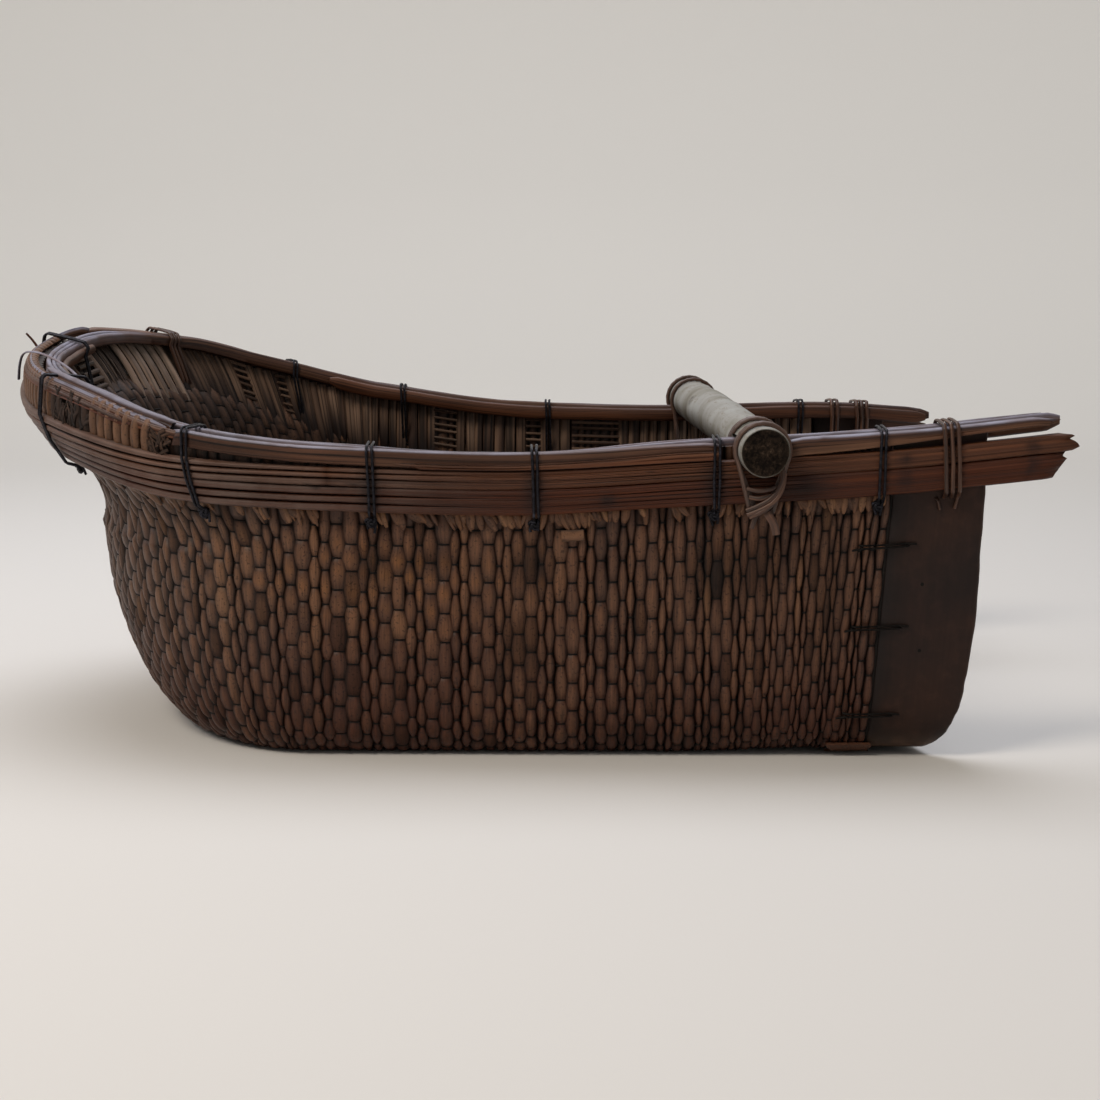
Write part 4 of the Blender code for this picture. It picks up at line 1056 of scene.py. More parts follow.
def inner_strands(name, start, end, strands, finish, slot_name, replaced):
    """Strands laid side by side inside the weave. Each has a start in from the face, a thickness,
    a drop of its top, a height, how pale its top is (a painted sheen on polished skin), a tone and
    shortened ends."""
    bundle = Bundle(name)
    for first, thickness, drop, height, wear, tone, cut_start, cut_end in strands:
        begin, stop = start + cut_start, end - cut_end
        count = max(int((stop - begin) / (3.5 * MM)), 8)
        runs = np.linspace(begin, stop, count)
        sunk = np.exp(-((runs - near_run(-0.005)) / 0.08) ** 4)
        drops = drop + wander(runs, 0.35 * MM, 0.17) + 2.2 * MM * sunk
        low = drops + height
        low_level = level_at_drop(runs, low)
        mid_level = level_at_drop(runs, low - height / 2)
        high_level = np.minimum(level_at_drop(runs, drops), 9)
        lift = np.maximum(weave_top_drop - drops, 0.0)
        ease = min(0.45 * thickness, 1.6 * MM)
        sway = wander(runs, 0.25 * MM, 0.13)
        near, far = -first + sway, -first - thickness + sway
        section = [(low_level, near - ease, 0), (low_level + 0.12, near, 0), (mid_level, near, 0),
                   (high_level, near, lift - ease), (high_level, near - 0.3 * ease, lift - 0.3 * ease),
                   (high_level, near - ease, lift), (high_level, far + ease, lift),
                   (high_level, far + 0.3 * ease, lift - 0.3 * ease), (high_level, far, lift - ease),
                   (mid_level, far, 0), (low_level + 0.12, far, 0), (low_level, far + ease, 0)]
        thin = np.maximum(near_end(runs, begin, 8 * MM), near_end(runs, stop, 8 * MM)) ** 1.3
        rings = []
        for level, out, up in section:
            centre = (near + far) / 2
            squeezed = out + (centre - out) * 0.55 * thin
            shifted = level + (mid_level - level) * 0.45 * thin
            rings.append(off_wall(runs, shifted, squeezed, up * (1 - 0.5 * thin)))
        rings = np.stack(rings, 1)
        top = np.array([0, 0, 0.05, 0.6, 0.9, 1, 1, 0.9, 0.6, 0.05, 0, 0])
        across = np.array([0, 1, 4, 7, 8, 9, 11, 12, 13, 16, 19, 20]) * MM
        # Painted shade along the lower edges, where the strand meets the weave
        crown = np.array([0.3, 0.6, 1, 1, 1, 1, 1, 1, 1, 1, 0.6, 0.3])
        bundle.add_rings(rings, tone=tone, crown=crown[None], along=runs, across=across[None],
                         wear=wear * top[None] * sheen_and_wear_share(runs, -0.01, 0.09)[:, None],
                         stain=0.3 * smooth_step(turn_run(112), turn_run(130), runs)[:, None])
    bundle.build(finish, slot_name, replaced, sharp=60)


# Bindings

def hole_level(run):
    """Level where the bindings pass through the weave, just below the outer hoops."""
    height = rim_top(run) - band_drop(run) - band_height
    return 7 - 6 * MM / (height * (1 - side_height_shares[-1]))


def inner_depth(run):
    """Distance from the weave's outer face to the inmost strip of the rim."""
    depth = weave_thickness + strip_gap + hoop_thickness
    if run > far_run(-163 * MM):
        depth += strip_gap + far_strip_thickness
    if turn_run(40) < run < turn_run(104) + 6 * MM:
        depth += strip_gap + bound_thickness
    return depth


def rim_corners(run, radius, recess=0.0):
    """Level, distance out and lift at the corners of one turn of a binding drawn tight round the rim."""
    room = radius + 0.35 * MM
    outside = strip_gap + strip_thickness + room
    inner = inner_depth(run)
    low = hole_level(run)
    hoop_low = level_at_drop(run, min(hoop_height + 2 * radius, float(band_drop(run))))
    rows = [(low, radius + piece_gap - recess, 0), (6.97, outside, 0), (7.5, outside + 0.2 * MM, 0),
            (8, outside, 0), (9, outside, weave_top_drop - 1 * MM),
            (9, outside - 2.2 * MM, weave_top_drop + room),
            (9, -inner / 2, weave_top_drop + room + 0.4 * MM),
            (9, -inner + 1.4 * MM, weave_top_drop + room), (9, -inner - room, weave_top_drop - 2 * MM),
            (hoop_low, -inner - room, 0), ((low + 7) / 2, -weave_thickness - room - 1 * MM, 0),
            (low, -weave_thickness - room / 2, 0), (low, -weave_thickness / 2, 0)]
    return [(run, float(level), float(out), float(lift)) for level, out, lift in rows]


def knot_points(size, turned):
    """Small overhand knot."""
    points = []
    for step_of in np.linspace(0.35, 2 * math.pi - 0.35, 34):
        x = math.sin(step_of) + 2 * math.sin(2 * step_of)
        z = math.cos(step_of) - 2 * math.cos(2 * step_of)
        y = -math.sin(3 * step_of)
        points.append((x * math.cos(turned) + z * math.sin(turned), y,
                       z * math.cos(turned) - x * math.sin(turned)))
    return np.array(points) * size


def rim_winding(name, middle, turns, radius, pitch, recess, finish, slot_name, knot=0.0, lean=0.0,
                flat=1.0, bend=2.4 * MM):
    """Binding wound round the rim, with its tails below the hoops outside, knotted or bent."""
    bundle = Bundle(name)
    # The corners of one turn
    count = 13
    corners = []
    shake = draw.uniform(-0.3, 0.3, turns * count + 1) * MM
    for place in range(turns * count + 1):
        across = (place % count) / count
        run = middle + (place / count - turns / 2) * pitch + shake[place] + lean * (0.5 - abs(across - 0.5))
        corners.append(rim_corners(run, radius, recess)[place % count])
    ends = []
    corners = list(off_wall(*np.array(corners).T))
    for end, side in ((0, -1), (-1, 1)):
        run = middle + side * turns / 2 * pitch
        level = float(hole_level(run))
        down = unit(wall(run, level - step) - wall(run, level))
        out = wall_out(run, level)
        along = np.cross(down, out)
        reach = draw.uniform(4.5, 7.5) * MM
        ends.append(corners[end] + down * reach + out * draw.uniform(0, 1.2) * MM
                    - along * side * draw.uniform(0.5, 2.5) * MM)
    corners = [ends[0]] + corners + [ends[1]]
    points = rounded_line(corners, bend)
    middle_point = off_wall(middle, 8, -weave_thickness / 2)
    add_strand(bundle, points, radius, radius * flat, unit(points - middle_point), tone=draw.uniform())
    if knot:
        level = float(hole_level(middle))
        out = wall_out(middle, level)
        centre = off_wall(middle, level, radius * 2 + 1.2 * MM - recess, -0.5 * MM)
        way = unit(np.cross(out, np.array([0, 0, 1.0])))
        up = np.cross(way, out)
        for size, turned in ((knot, 0.3), (knot * 0.8, 1.5)):
            local = knot_points(size, turned)
            points = centre + local[:, :1] * way + local[:, 1:2] * out * 0.7 + local[:, 2:] * up
            add_strand(bundle, points, radius, radius, out + 0 * points, sides=7, tone=draw.uniform())
    bundle.build(finish, slot_name, (name,), sharp=80)


def pole_centre(share):
    bow = pole_bow * math.sin(math.pi * share)
    return np.array([pole_x_near + (pole_x_far - pole_x_near) * share, (share - 0.5) * pole_length,
                     pole_z_near + (pole_z_far - pole_z_near) * share + bow])


def pole_radius(share):
    return pole_radius_near + (pole_radius_far - pole_radius_near) * share


def pole_share(y):
    return y / pole_length + 0.5


def lashing_depth(side):
    """Distance from the weave's outer face to the inmost strip beside the pole."""
    far_strip = strip_gap + far_strip_thickness if side > 0 else 0
    return weave_thickness + strip_gap + hoop_thickness + far_strip


def pole_lashing(name, side, turns, finish):
    """Split cane that binds the pole down, over it outside and inside the rim by turns."""
    radius, pitch, spread = 1.3 * MM, 3.9 * MM, 2.5 * MM
    run_of = near_run if side < 0 else far_run
    run = run_of(pole_centre(pole_share(side * half_width))[0])
    low = float(hole_level(run))
    depth = lashing_depth(side)
    out_y = half_width + radius + 0.9 * MM
    in_y = body_half_width - depth - radius - 0.9 * MM
    room = radius + 0.9 * MM

    def foot(offset, out):
        return off_wall(run, low, out) + np.array([offset, 0, 0])

    def arch(y, way):
        share = pole_share(side * y)
        reach = pole_radius(share) + radius + 0.25 * MM
        points = []
        for place in range(15):
            angle = math.radians(119) * (1 - 2 * place / 14) * way
            points.append(pole_centre(share) + np.array([-math.sin(angle), 0, math.cos(angle)]) * reach)
        return points

    def leg(top, low_end):
        hoop_low = wall(run, level_at_drop(run, hoop_height + 2 * radius))[2]
        clear_z = min(hoop_low, top[2] - radius)
        point = top + (low_end - top) * (top[2] - clear_z) / (top[2] - low_end[2])
        return np.array([point[0], top[1], point[2]])

    corners = [foot(-spread - 2 * MM, out_y - body_half_width) - np.array([1 * MM, 0, 9 * MM]),
               foot(-spread, out_y - body_half_width)]
    for turn in range(turns):
        offset, outside = spread + turn * pitch, out_y + turn * pitch * 0.85
        inside = -weave_thickness - room - turn * pitch
        over_in = arch(in_y - turn * pitch, -1)
        foot_in, foot_back = foot(offset, inside), foot(-offset - pitch, inside)
        corners += arch(outside, 1)
        corners += [foot(offset, outside - body_half_width), foot(offset, 0.0), foot_in]
        corners.append(leg(over_in[0], foot_in))
        corners += over_in
        corners += [leg(over_in[-1], foot_back), foot_back]
        if turn < turns - 1:
            across = -offset - pitch
            corners += [foot(across, 0.0), foot(across, outside + pitch - body_half_width)]
    corners.append(corners[-1] - np.array([0, 0, 5 * MM]))
    bundle = Bundle(name)
    points = rounded_line(corners, 2.6 * MM)
    anchor = pole_centre(pole_share(side * half_width)) * np.array([1, 0, 1])
    outward = (points - anchor) * np.array([1, 0.15, 1])
    add_strand(bundle, points, 1.5 * MM, 0.9 * MM, outward, tone=0.45, wear=0.12)
    if side < 0:
        # Turns of cane that draw the legs together under the pole, and their tail
        centre = pole_centre(pole_share(-half_width))
        front = -out_y - 5.2 * MM
        sweeps = (((12, 1.4, -11), (11.5, 0, -19), (6, -0.6, -27.5), (-2, -0.4, -32), (-9, 1.6, -35)),
                  ((13, 1.6, -13), (12, 0, -22), (7, -0.8, -30), (-1, -0.6, -34.5), (-8.5, 1.6, -37.5)),
                  ((12, 1.4, -17), (10.5, 0.2, -25), (5, -0.7, -32.5), (-2, -0.5, -36.5), (-7, 1.8, -39)),
                  ((-9, 1.4, -22), (-3, -0.2, -23.5), (4, -0.2, -22.5), (9, 1.4, -21)),
                  ((-7.5, 1.4, -27), (-2, -0.2, -28), (3, -0.1, -26.5), (7.5, 1.2, -26)),
                  ((3, 1.5, -36), (5.5, 0, -40), (7.5, 1.4, -44), (8.5, 2.6, -49)))
        for sweep in sweeps:
            points = centre * np.array([1, 0, 1]) + np.array([0, front, 0]) + np.array(sweep) * MM
            tail = sweep is sweeps[-1]
            add_strand(bundle, smooth_line(points, 3), (2.3 if tail else 1.35) * MM, 0.8 * MM,
                       np.array([0, -1.0, 0]), tone=1.0 if tail else draw.uniform(0.3, 0.8), wear=0.05)
    bundle.build(finish, "split_cane", (name,), sharp=80)


def board_front(level):
    """Place along X of the board's front edge."""
    return board_reach - board_toe * smooth_table(board_front_shares, level)


def make_board(finish):
    """Thin board bent to a U, with eased edges, worn pale in front and below."""
    side_levels = np.concatenate([[0, 0.7, 1.3], np.linspace(1.7, 4.2, 26), np.linspace(4.4, 9, 24)])
    rows = [(near_run, level) for level in side_levels[::-1]]
    rows += [(far_run, level) for level in side_levels[1:]]
    rings, wears, alongs, acrosses, stains = [], [], [], [], []
    for number, (run_of, level) in enumerate(rows):
        start, end = float(seam_x(level)) + piece_gap, float(board_front(level))
        end = end + 0.35 * MM * math.sin(number * 0.7) + 0.2 * MM * math.sin(number * 1.9)
        places = np.linspace(start + 0.6 * MM, end - 2.2 * MM, 8)
        top, bottom = -board_recess, -board_recess - board_thickness
        section = [(start, top - 0.6 * MM)] + [(place, top) for place in places]
        for turned in (25, 55, 90, 125, 155):
            angle = math.radians(turned)
            section.append((end - 2.2 * MM + 2.2 * MM * math.sin(angle),
                            (top + bottom) / 2 + board_thickness / 2 * math.cos(angle)))
        section += [(place, bottom) for place in places[::-1]] + [(start, bottom + 0.6 * MM)]
        xs, outs = np.array(section).T
        rings.append(off_wall(run_of(xs), np.full(len(xs), level), outs))
        wear = np.zeros(len(xs))
        wear[9:14] = (0.1, 0.28, 0.3, 0.28, 0.1)
        low_edge = bell(level - 2.35, 0.35)
        wear[:9] += 0.35 * low_edge
        wears.append(wear)
        alongs.append(np.full(len(xs), (level if run_of is far_run else -level) * 40 * MM))
        acrosses.append(np.cumsum(np.abs(np.gradient(xs))))
        # Painted shadow of the weave's edge on the board beside the seam
        stains.append(0.75 * bell(xs - start, (9 + 3 * math.sin(level * 5)) * MM))
    bundle = Bundle("lip_board_bent")
    bundle.add_rings(np.array(rings), tone=0.4, crown=1.0, along=np.array(alongs),
                     across=np.array(acrosses), wear=np.array(wears), stain=np.array(stains))
    bundle.build(finish, "lip_board_wood", ("lip_board",), sharp=60)


def board_holes(finish):
    """Nail holes left in the near side of the board, drawn as small dark pegs set flush: painted shade in
    place of the open holes.
    """
    bundle = Bundle("board_nail_holes")
    for x, z in ((0.246, 0.107), (0.2455, 0.067)):
        levels = np.linspace(2.4, 9, 200)
        level = np.interp(z, wall(near_run(x), levels)[:, 2], levels)
        centre = off_wall(near_run(x), level, -board_recess)
        out = wall_out(near_run(x), level)
        points = centre + out * np.array([[-1.2], [0.05], [0.12]]) * MM
        girth = np.array([1.1, 1.1, 0.6]) * MM
        add_strand(bundle, points, girth, girth, np.array([0.1, 0, 1.0]), sides=12)
    bundle.build(finish, "lip_board_wood", sharp=50)


def make_stitches(finish):
    """Two-ply twine through the weave and the board."""
    radius = 0.95 * MM

    def row_height(level):
        run = near_run(seam_reach)
        low, high = max(level - step, 0.0), level + step
        return np.linalg.norm(wall(run, high) - wall(run, low)) / (high - low)

    places = [(f"{side}_stitch_{index + 1}", run_of, level) for side, run_of in
              (("near", near_run), ("far", far_run)) for index, level in enumerate((3.45, 4.83, 6.05))]
    for index, share in enumerate((-0.8, -0.42, 0, 0.42, 0.8)):
        places.append((f"floor_stitch_{index + 1}", near_run if share <= 0 else far_run, abs(share) * 2))
    for name, run_of, level in places:
        bundle = Bundle(name)
        x_weave, x_board = float(seam_x(level)) - 16 * MM, float(seam_x(level)) + 13 * MM
        room = 0.25 * MM + radius
        swing = 1.9 * MM / row_height(level)
        inside = -weave_thickness - room
        flush = room - board_recess
        middle = (x_weave + x_board) / 2
        rows = [(x_weave - 5 * MM, level - 0.3 * swing, room + 0.6 * MM), (x_weave, level, room),
                (middle, level, room + 0.3 * MM), (x_board - 1 * MM, level, flush),
                (x_board, level + swing * 0.3, -weave_thickness / 2), (x_board, level + swing, inside),
                (middle, level + swing, inside), (x_weave, level + swing, inside),
                (x_weave, level + swing, -weave_thickness / 2), (x_weave, level + swing, room),
                (middle, level + swing * 0.95, room + 0.3 * MM),
                (x_board - 2 * MM, level + swing * 0.9, flush),
                (x_board + 4 * MM, level + swing * 0.5, flush)]
        corners = [off_wall(run_of(x), at, out) for x, at, out in rows]
        points = rounded_line(corners, 1.8 * MM, 5)
        add_strand(bundle, points, radius * 1.15, radius * 0.72, np.array([0.01, 0, 1.0]),
                   tone=draw.uniform(), twist=2 * math.pi / (5.2 * MM))
        bundle.build(finish, "dark_twine", (name,), sharp=80)


def make_pole(bark, end_grain):
    """Round pole, a little bent and knotty, with a saddle notch over each rim."""
    sides = 56
    stations = list(np.linspace(0.012, 0.988, 74))
    cuts = []
    for side, run_of in ((-1, near_run), (1, far_run)):
        depth = lashing_depth(side)
        outer = side * (half_width + 0.8 * MM)
        inner = side * (body_half_width - depth - 0.8 * MM)
        share = pole_share(side * body_half_width)
        x, radius = pole_centre(share)[0], pole_radius(share)
        hoop_top = max(rim_top(run_of(x + radius)), rim_top(run_of(x - radius)))
        cuts.append((pole_share(min(outer, inner)), pole_share(max(outer, inner)),
                     float(hoop_top) + strip_gap + piece_gap))
        for edge in cuts[-1][:2]:
            stations += [edge - 0.00002, edge + 0.00002]
    stations = sorted(stations)
    angle = np.arange(sides) / sides * 2 * math.pi
    # Scars of twigs: the share along the pole, the angle round it and the size
    scars = ((0.16, 1.35, 7.5 * MM), (0.10, 2.3, 4 * MM), (0.42, 0.9, 6 * MM), (0.66, 2.6, 7 * MM),
             (0.83, 1.2, 5 * MM))
    bundle = Bundle("pole_handle_round")
    rings, stains = [], []
    for share in stations:
        radius = np.full(sides, pole_radius(share))
        radius += 0.25 * MM * np.sin(angle * 2 + share * 9) + 0.18 * MM * np.sin(angle * 3 - share * 23)
        stain = np.zeros(sides)
        for place, turned, size in scars:
            around = (np.mod(angle - turned + math.pi, 2 * math.pi) - math.pi) * radius
            away = np.hypot((share - place) * pole_length, around) - size * 0.55
            radius += 0.55 * MM * bell(away, 1.5 * MM)
            stain += 0.75 * bell(away, 0.9 * MM)
        # Painted shade: darker below, on the underside away from the light
        stain += 0.6 * np.clip(-np.sin(angle) + 0.15, 0, 1) ** 0.8
        ring = np.stack([np.cos(angle) * radius, 0 * angle, np.sin(angle) * radius], -1)
        ring = pole_centre(share) + ring
        for low, high, top in cuts:
            if low <= share <= high:
                ring[:, 2] = np.maximum(ring[:, 2], top)
                stain = np.maximum(stain, 0.3 * (ring[:, 2] <= top))
        rings.append(ring)
        stains.append(np.clip(stain, 0, 0.9))
    # Eased edge at both sawn ends
    for end, share, way in ((0, 0.0, 1), (-1, 1.0, -1)):
        base = pole_centre(share)
        spread = rings[end] - pole_centre(stations[end])
        extra = [base + spread * size + np.array([0, way * away * MM, 0])
                 for size, away in ((0.995, 1.6), (0.975, 0.6), (0.945, 0.25))]
        new_stains = [stains[end] * 0.5 + 0.05, stains[end] * 0.5 + 0.2, stains[end] * 0 + 0.6]
        if end == 0:
            rings = extra[::-1] + rings
            stains = new_stains[::-1] + stains
        else:
            rings = rings + extra
            stains = stains + new_stains
    rings = np.array(rings)
    lengths = rings[:, :, 1].mean(1)
    bundle.add_rings(rings, tone=0.5, crown=1.0, along=lengths, across=(angle / math.pi * 40 * MM)[None],
                     stain=np.array(stains), capped=False)
    bundle.build(bark, "pole_wood", ("pole_handle",), sharp=50)

    ends = Bundle("pole_end_grain")
    for share, way in ((0.0, 1), (1.0, -1)):
        centre = pole_centre(share)
        radii = np.linspace(0.955, 0.03, 24) * pole_radius(share)
        disc, wears, acrosses = [], [], []
        for number, radius in enumerate(radii):
            torn = np.sin(angle * 7 + number * 2.7) * np.sin(angle * 4 - number * 3.9)
            torn = torn + draw.uniform(-0.6, 0.6, sides)
            dip = way * (0.3 * MM + (0.35 * MM + 0.16 * MM * torn) * (number > 0))
            wobble = 1 + 0.012 * np.sin(angle * 3 + number) * (number > 0)
            disc.append(centre + np.stack([np.cos(angle) * radius * wobble, dip + 0 * angle,
                                           np.sin(angle) * radius * wobble], -1))
            wears.append(np.full(sides, {0: 0.35, 1: 0.12}.get(number, 0.0)))
            acrosses.append(np.full(sides, radius))
        disc = np.array(disc)
        back = centre + np.array([0, way * 4 * MM, 0]) + (disc[0] - centre) * 0.9
        disc = np.concatenate([back[None], disc])
        wears, acrosses = np.array(wears[:1] + wears), np.array(acrosses[:1] + acrosses)
        ends.add_rings(disc, tone=0.5, crown=1.0, along=0.0, across=acrosses, wear=wears)
    ends.build(end_grain, "pole_wood", sharp=60)


# Loose ends of the weave

def split_rod_ends(columns, finish):
    """Cut ends of split rod that stick out below the outer strips, leaning each way."""
    bundle = Bundle("split_rod_ends")
    lean = 0.0
    for run, width in columns:
        lean = 0.7 * lean + draw.uniform(-3.2, 3.2) * MM
        for _ in range(int(draw.integers(1, 4)) if draw.uniform() > 0.12 else 0):
            wide = draw.uniform(2.8, 5.6) * MM
            tall = draw.uniform(5, 11) * MM
            at = run + draw.uniform(-0.55, 0.55) * width
            height = wall(at, 7)[2] - wall(at, 6)[2]
            drops = np.array([-3 * MM, 0, 0.3 * tall, 0.6 * tall, 0.88 * tall, tall])
            runs = at + (lean + draw.uniform(-1.5, 1.5) * MM) * np.clip(drops / tall, 0, 1)
            level = 7 - drops / height
            outs = np.array([0.2, 1.1, 1.6, 1.5, 1.1, 0.6]) * MM + draw.uniform(-0.2, 0.9) * MM
            tip = draw.uniform(0.15, 0.7)
            widths = wide / 2 * np.array([1, 1, 1, 0.95, 0.5 + 0.4 * tip, tip])
            out_way = wall_out(runs, level)
            add_strand(bundle, woven(runs, level) + out_way * outs[:, None], widths, 0.9 * MM, out_way,
                       tone=draw.uniform(0.25, 1.0), wear=draw.uniform(0, 0.35))
    # A short splint jammed across the rods
    runs = near_run(np.linspace(0.033, 0.046, 6))
    level = 7 - 14.5 * MM / (wall(runs, 7)[:, 2] - wall(runs, 6)[:, 2])
    add_strand(bundle, off_wall(runs, level, 2.2 * MM), 3.4 * MM, 0.9 * MM, wall_out(runs, level), tone=0.9)
    bundle.build(finish, "willow_rods", sharp=50)


def inner_slats(finish):
    """Rounded slats that stand inside the weave under the hoop, with gaps crossed by thin rungs."""
    bundle = Bundle("inner_slats")
    rungs = Bundle("inner_rungs")
    # Each gap: its two ends, its rungs, and their thickness
    ladders = ((turn_run(99), turn_run(104), 7, 2.1 * MM), (turn_run(147.5), turn_run(150.5), 6, 1.2 * MM),
               (turn_run(158), turn_run(159.6), 6, 1.0 * MM), (far_run(-0.069), far_run(-0.053), 6, 1.1 * MM),
               (far_run(0.004), far_run(0.013), 6, 1.0 * MM), (far_run(0.040), far_run(0.074), 6, 1.2 * MM),
               (near_run(0.05), near_run(0.02), 6, 1.2 * MM), (turn_run(36), turn_run(41), 6, 1.2 * MM))
    run = near_run(seam_reach) + 4 * MM
    stop = far_run(seam_reach) - 4 * MM
    while run < stop:
        width = draw.uniform(6.2, 9.0) * MM
        ribbed = turn_run(113) < run < turn_run(129)
        ladder = next((one for one in ladders if one[0] < run + width and run < one[1]), None)
        if ladder:
            start, end, count, thick = ladder
            for row in range(count):
                drop = (14.5 + 32 / count * row) * MM
                runs = np.linspace(start - 2 * MM, end + 2 * MM, 7)
                level = inner_level(runs, drop) + draw.uniform(-0.02, 0.02)
                points = off_wall(runs, level, -weave_thickness - 0.9 * MM)
                add_strand(rungs, points, thick, thick * 0.8, -wall_out(runs, level), sides=7,
                           tone=draw.uniform(0.6, 1.0), stain=min(0.12 * row, 0.6))
            run = end
            continue
        if turn_run(104) < run < turn_run(113):
            # Dark place with loose fibres between the rungs and the ribs
            for _ in range(4):
                aside, _ = draw.uniform(0, 7, 2) * MM
                runs = run + aside + draw.uniform(-2, 2) * MM * np.linspace(0, 1, 6)
                level = inner_level(runs, np.linspace(13, draw.uniform(35, 60), 6) * MM)
                add_strand(rungs, off_wall(runs, level, -weave_thickness - 0.8 * MM), 0.7 * MM, 0.6 * MM,
                           -wall_out(runs, level), sides=6, tone=draw.uniform(),
                           stain=draw.uniform(0.3, 0.7))
            run += 6 * MM
            continue
        width = 8.6 * MM if ribbed else width
        tall = 62 * MM if ribbed else draw.uniform(38, 56) * MM
        drops = np.linspace(hoop_height + 1 * MM, hoop_height + tall, 12)
        part = np.linspace(0, 1, 12)
        runs = run + width / 2 + draw.uniform(-1, 1) * MM * part
        level = inner_level(runs, drops)
        bend = np.interp(part, [0, 0.6, 0.85, 1], [0.3, 0.6, 0.3, -1.4]) * MM
        points = off_wall(runs, level, -weave_thickness - 0.5 * MM - bend - (1.2 * MM if ribbed else 0))
        widths = (width - (1.9 if ribbed else 0.8) * MM) / 2 * np.interp(part, [0, 0.7, 1], [1, 1, 0.8])
        # Each slat is darker towards its foot
        if ribbed:
            foot_darkening = smooth_step(0.5, 1.0, part)
        else:
            foot_darkening = smooth_step(0.25, 0.85, part + draw.uniform(-0.15, 0.12))
        add_strand(bundle, points, widths, 2.2 * MM if ribbed else 1.5 * MM, -wall_out(runs, level),
                   tone=draw.uniform(0.7, 1.0) if ribbed else draw.uniform(0.3, 0.8), stain=0.9 * foot_darkening,
                   wear=0.35 if ribbed else 0.0)
        run += width + (2.2 * MM if ribbed else 0)
    bundle.build(finish, "willow_rods", sharp=50)
    rungs.build(finish, "willow_rods", sharp=50)


def inner_level(runs, drop):
    """Level at a drop below the rim's top, at any depth down the wall."""
    runs = np.asarray(runs, float)
    drops = np.broadcast_to(drop, runs.shape)
    levels = np.linspace(3, 9, 240)
    found = []
    for run, one in zip(runs, drops):
        heights = wall(np.full(240, run), levels)[:, 2]
        found.append(np.interp(float(rim_top(run)) - one, heights, levels))
    return np.array(found)


def rod_tops(finish):
    """Rounded rod tops, packed side by side, that bend over between the hoop and the outer strips at
    the near back, a broken place among them, and the loose fibres beside them."""
    bundle = Bundle("bent_rod_tops")
    run = turn_run(27)
    while run < turn_run(100):
        width = draw.uniform(7.4, 8.6) * MM
        broken = turn_run(40.5) < run + width / 2 < turn_run(52.5)
        levels = np.array([7.9, 8.2, 8.5, 8.75, 8.93, 9.0, 9.0, 9.0])
        outs = np.array([1.0, 1.9, 2.6, 2.6, 2.0, 0.9, -0.4, -1.4]) * MM
        lifts = np.array([0, 0, 0, 0, 0.1, 0.5, 0.4, -0.4]) * MM
        kept = int(draw.integers(3, 6)) if broken else 8
        runs = run + width / 2 + draw.uniform(-0.5, 0.5) * MM + 0 * levels
        points = smooth_line(off_wall(runs, levels, outs, lifts)[:kept], 2)
        outward = unit(points - off_wall(run + width / 2, 8.7, -6 * MM))
        widths = width / 2 * np.interp(np.linspace(0, 1, len(points)), [0, 0.7, 1], [0.96, 0.96, 0.75])
        add_strand(bundle, points, widths, 3.0 * MM, outward, sides=10,
                   tone=draw.uniform(0.1, 0.4) if broken else draw.uniform(0.5, 0.8),
                   wear=0.0 if broken else 0.2, stain=0.55 if broken else 0.0)
        run += width
    bundle.build(finish, "willow_rods", sharp=60)
    loose = Bundle("loose_fibres")
    # Each bunch: the angles of its ends, its fibres and how dark they are
    for start, end, count, dark in ((41, 51.5, 40, 0.85), (23.6, 27, 30, 0.7)):
        for _ in range(count):
            middle = turn_run(draw.uniform(start, end))
            level = draw.uniform(8.05, 8.9)
            slant = draw.uniform(-1, 1)
            reach = draw.uniform(3, 7) * MM
            part = np.linspace(-1, 1, 6)
            runs = middle + part * reach * slant
            levels = level + part * (1 - abs(slant) * 0.6) * reach / (16 * MM)
            outs = 3.6 * MM + draw.uniform(0, 1.6) * MM + 0.8 * MM * np.sin(part * 2 + draw.uniform(0, 3))
            levels = np.clip(levels, 7.9, 9)
            add_strand(loose, off_wall(runs, levels, outs), draw.uniform(0.4, 1.3) * MM, 0.4 * MM,
                       wall_out(runs, levels), sides=6, tone=draw.uniform(0, 0.8),
                       stain=draw.uniform(dark - 0.45, dark))
    loose.build(finish, "willow_rods", sharp=60)


def loose_splints(pale, red):
    """Splint that springs from the outer strips over the rim, and a twig that stands up from the back."""
    turned = np.array([77, 75, 72, 69, 66, 63, 60, 58])
    levels = np.array([8.2, 8.7, 9, 9, 9, 9, 9, 9])
    outs = np.array([7.8, 8.4, 7.0, 1.0, -5.0, -11.0, -16.5, -19.0]) * MM
    lifts = np.array([0, 2.0, 7.5, 10.8, 11.0, 9.4, 6.0, 2.5]) * MM
    bundle = Bundle("loose_splint")
    arc = smooth_line(off_wall(np.radians(turned) * half_width, levels, outs, lifts), 3)
    add_strand(bundle, arc, 1.0 * MM, 0.6 * MM, np.array([0, -0.3, 1.0]), tone=0.9, wear=0.8)
    bundle.build(pale, "bamboo_strips", sharp=60)
    bundle = Bundle("standing_twig")
    foot = off_wall(turn_run(93), 8.6, 5.5 * MM)
    twig = smooth_line(foot + np.array([[2, 0, -6], [0, 0, 0], [-4, 0.5, 6], [-8.5, 0, 11]]) * MM, 3)
    girth = np.linspace(1.1, 0.7, len(twig)) * MM
    add_strand(bundle, twig, girth, girth, np.array([1.0, 0, 1.0]), tone=1.0)
    bundle.build(red, "bamboo_strips", sharp=60)


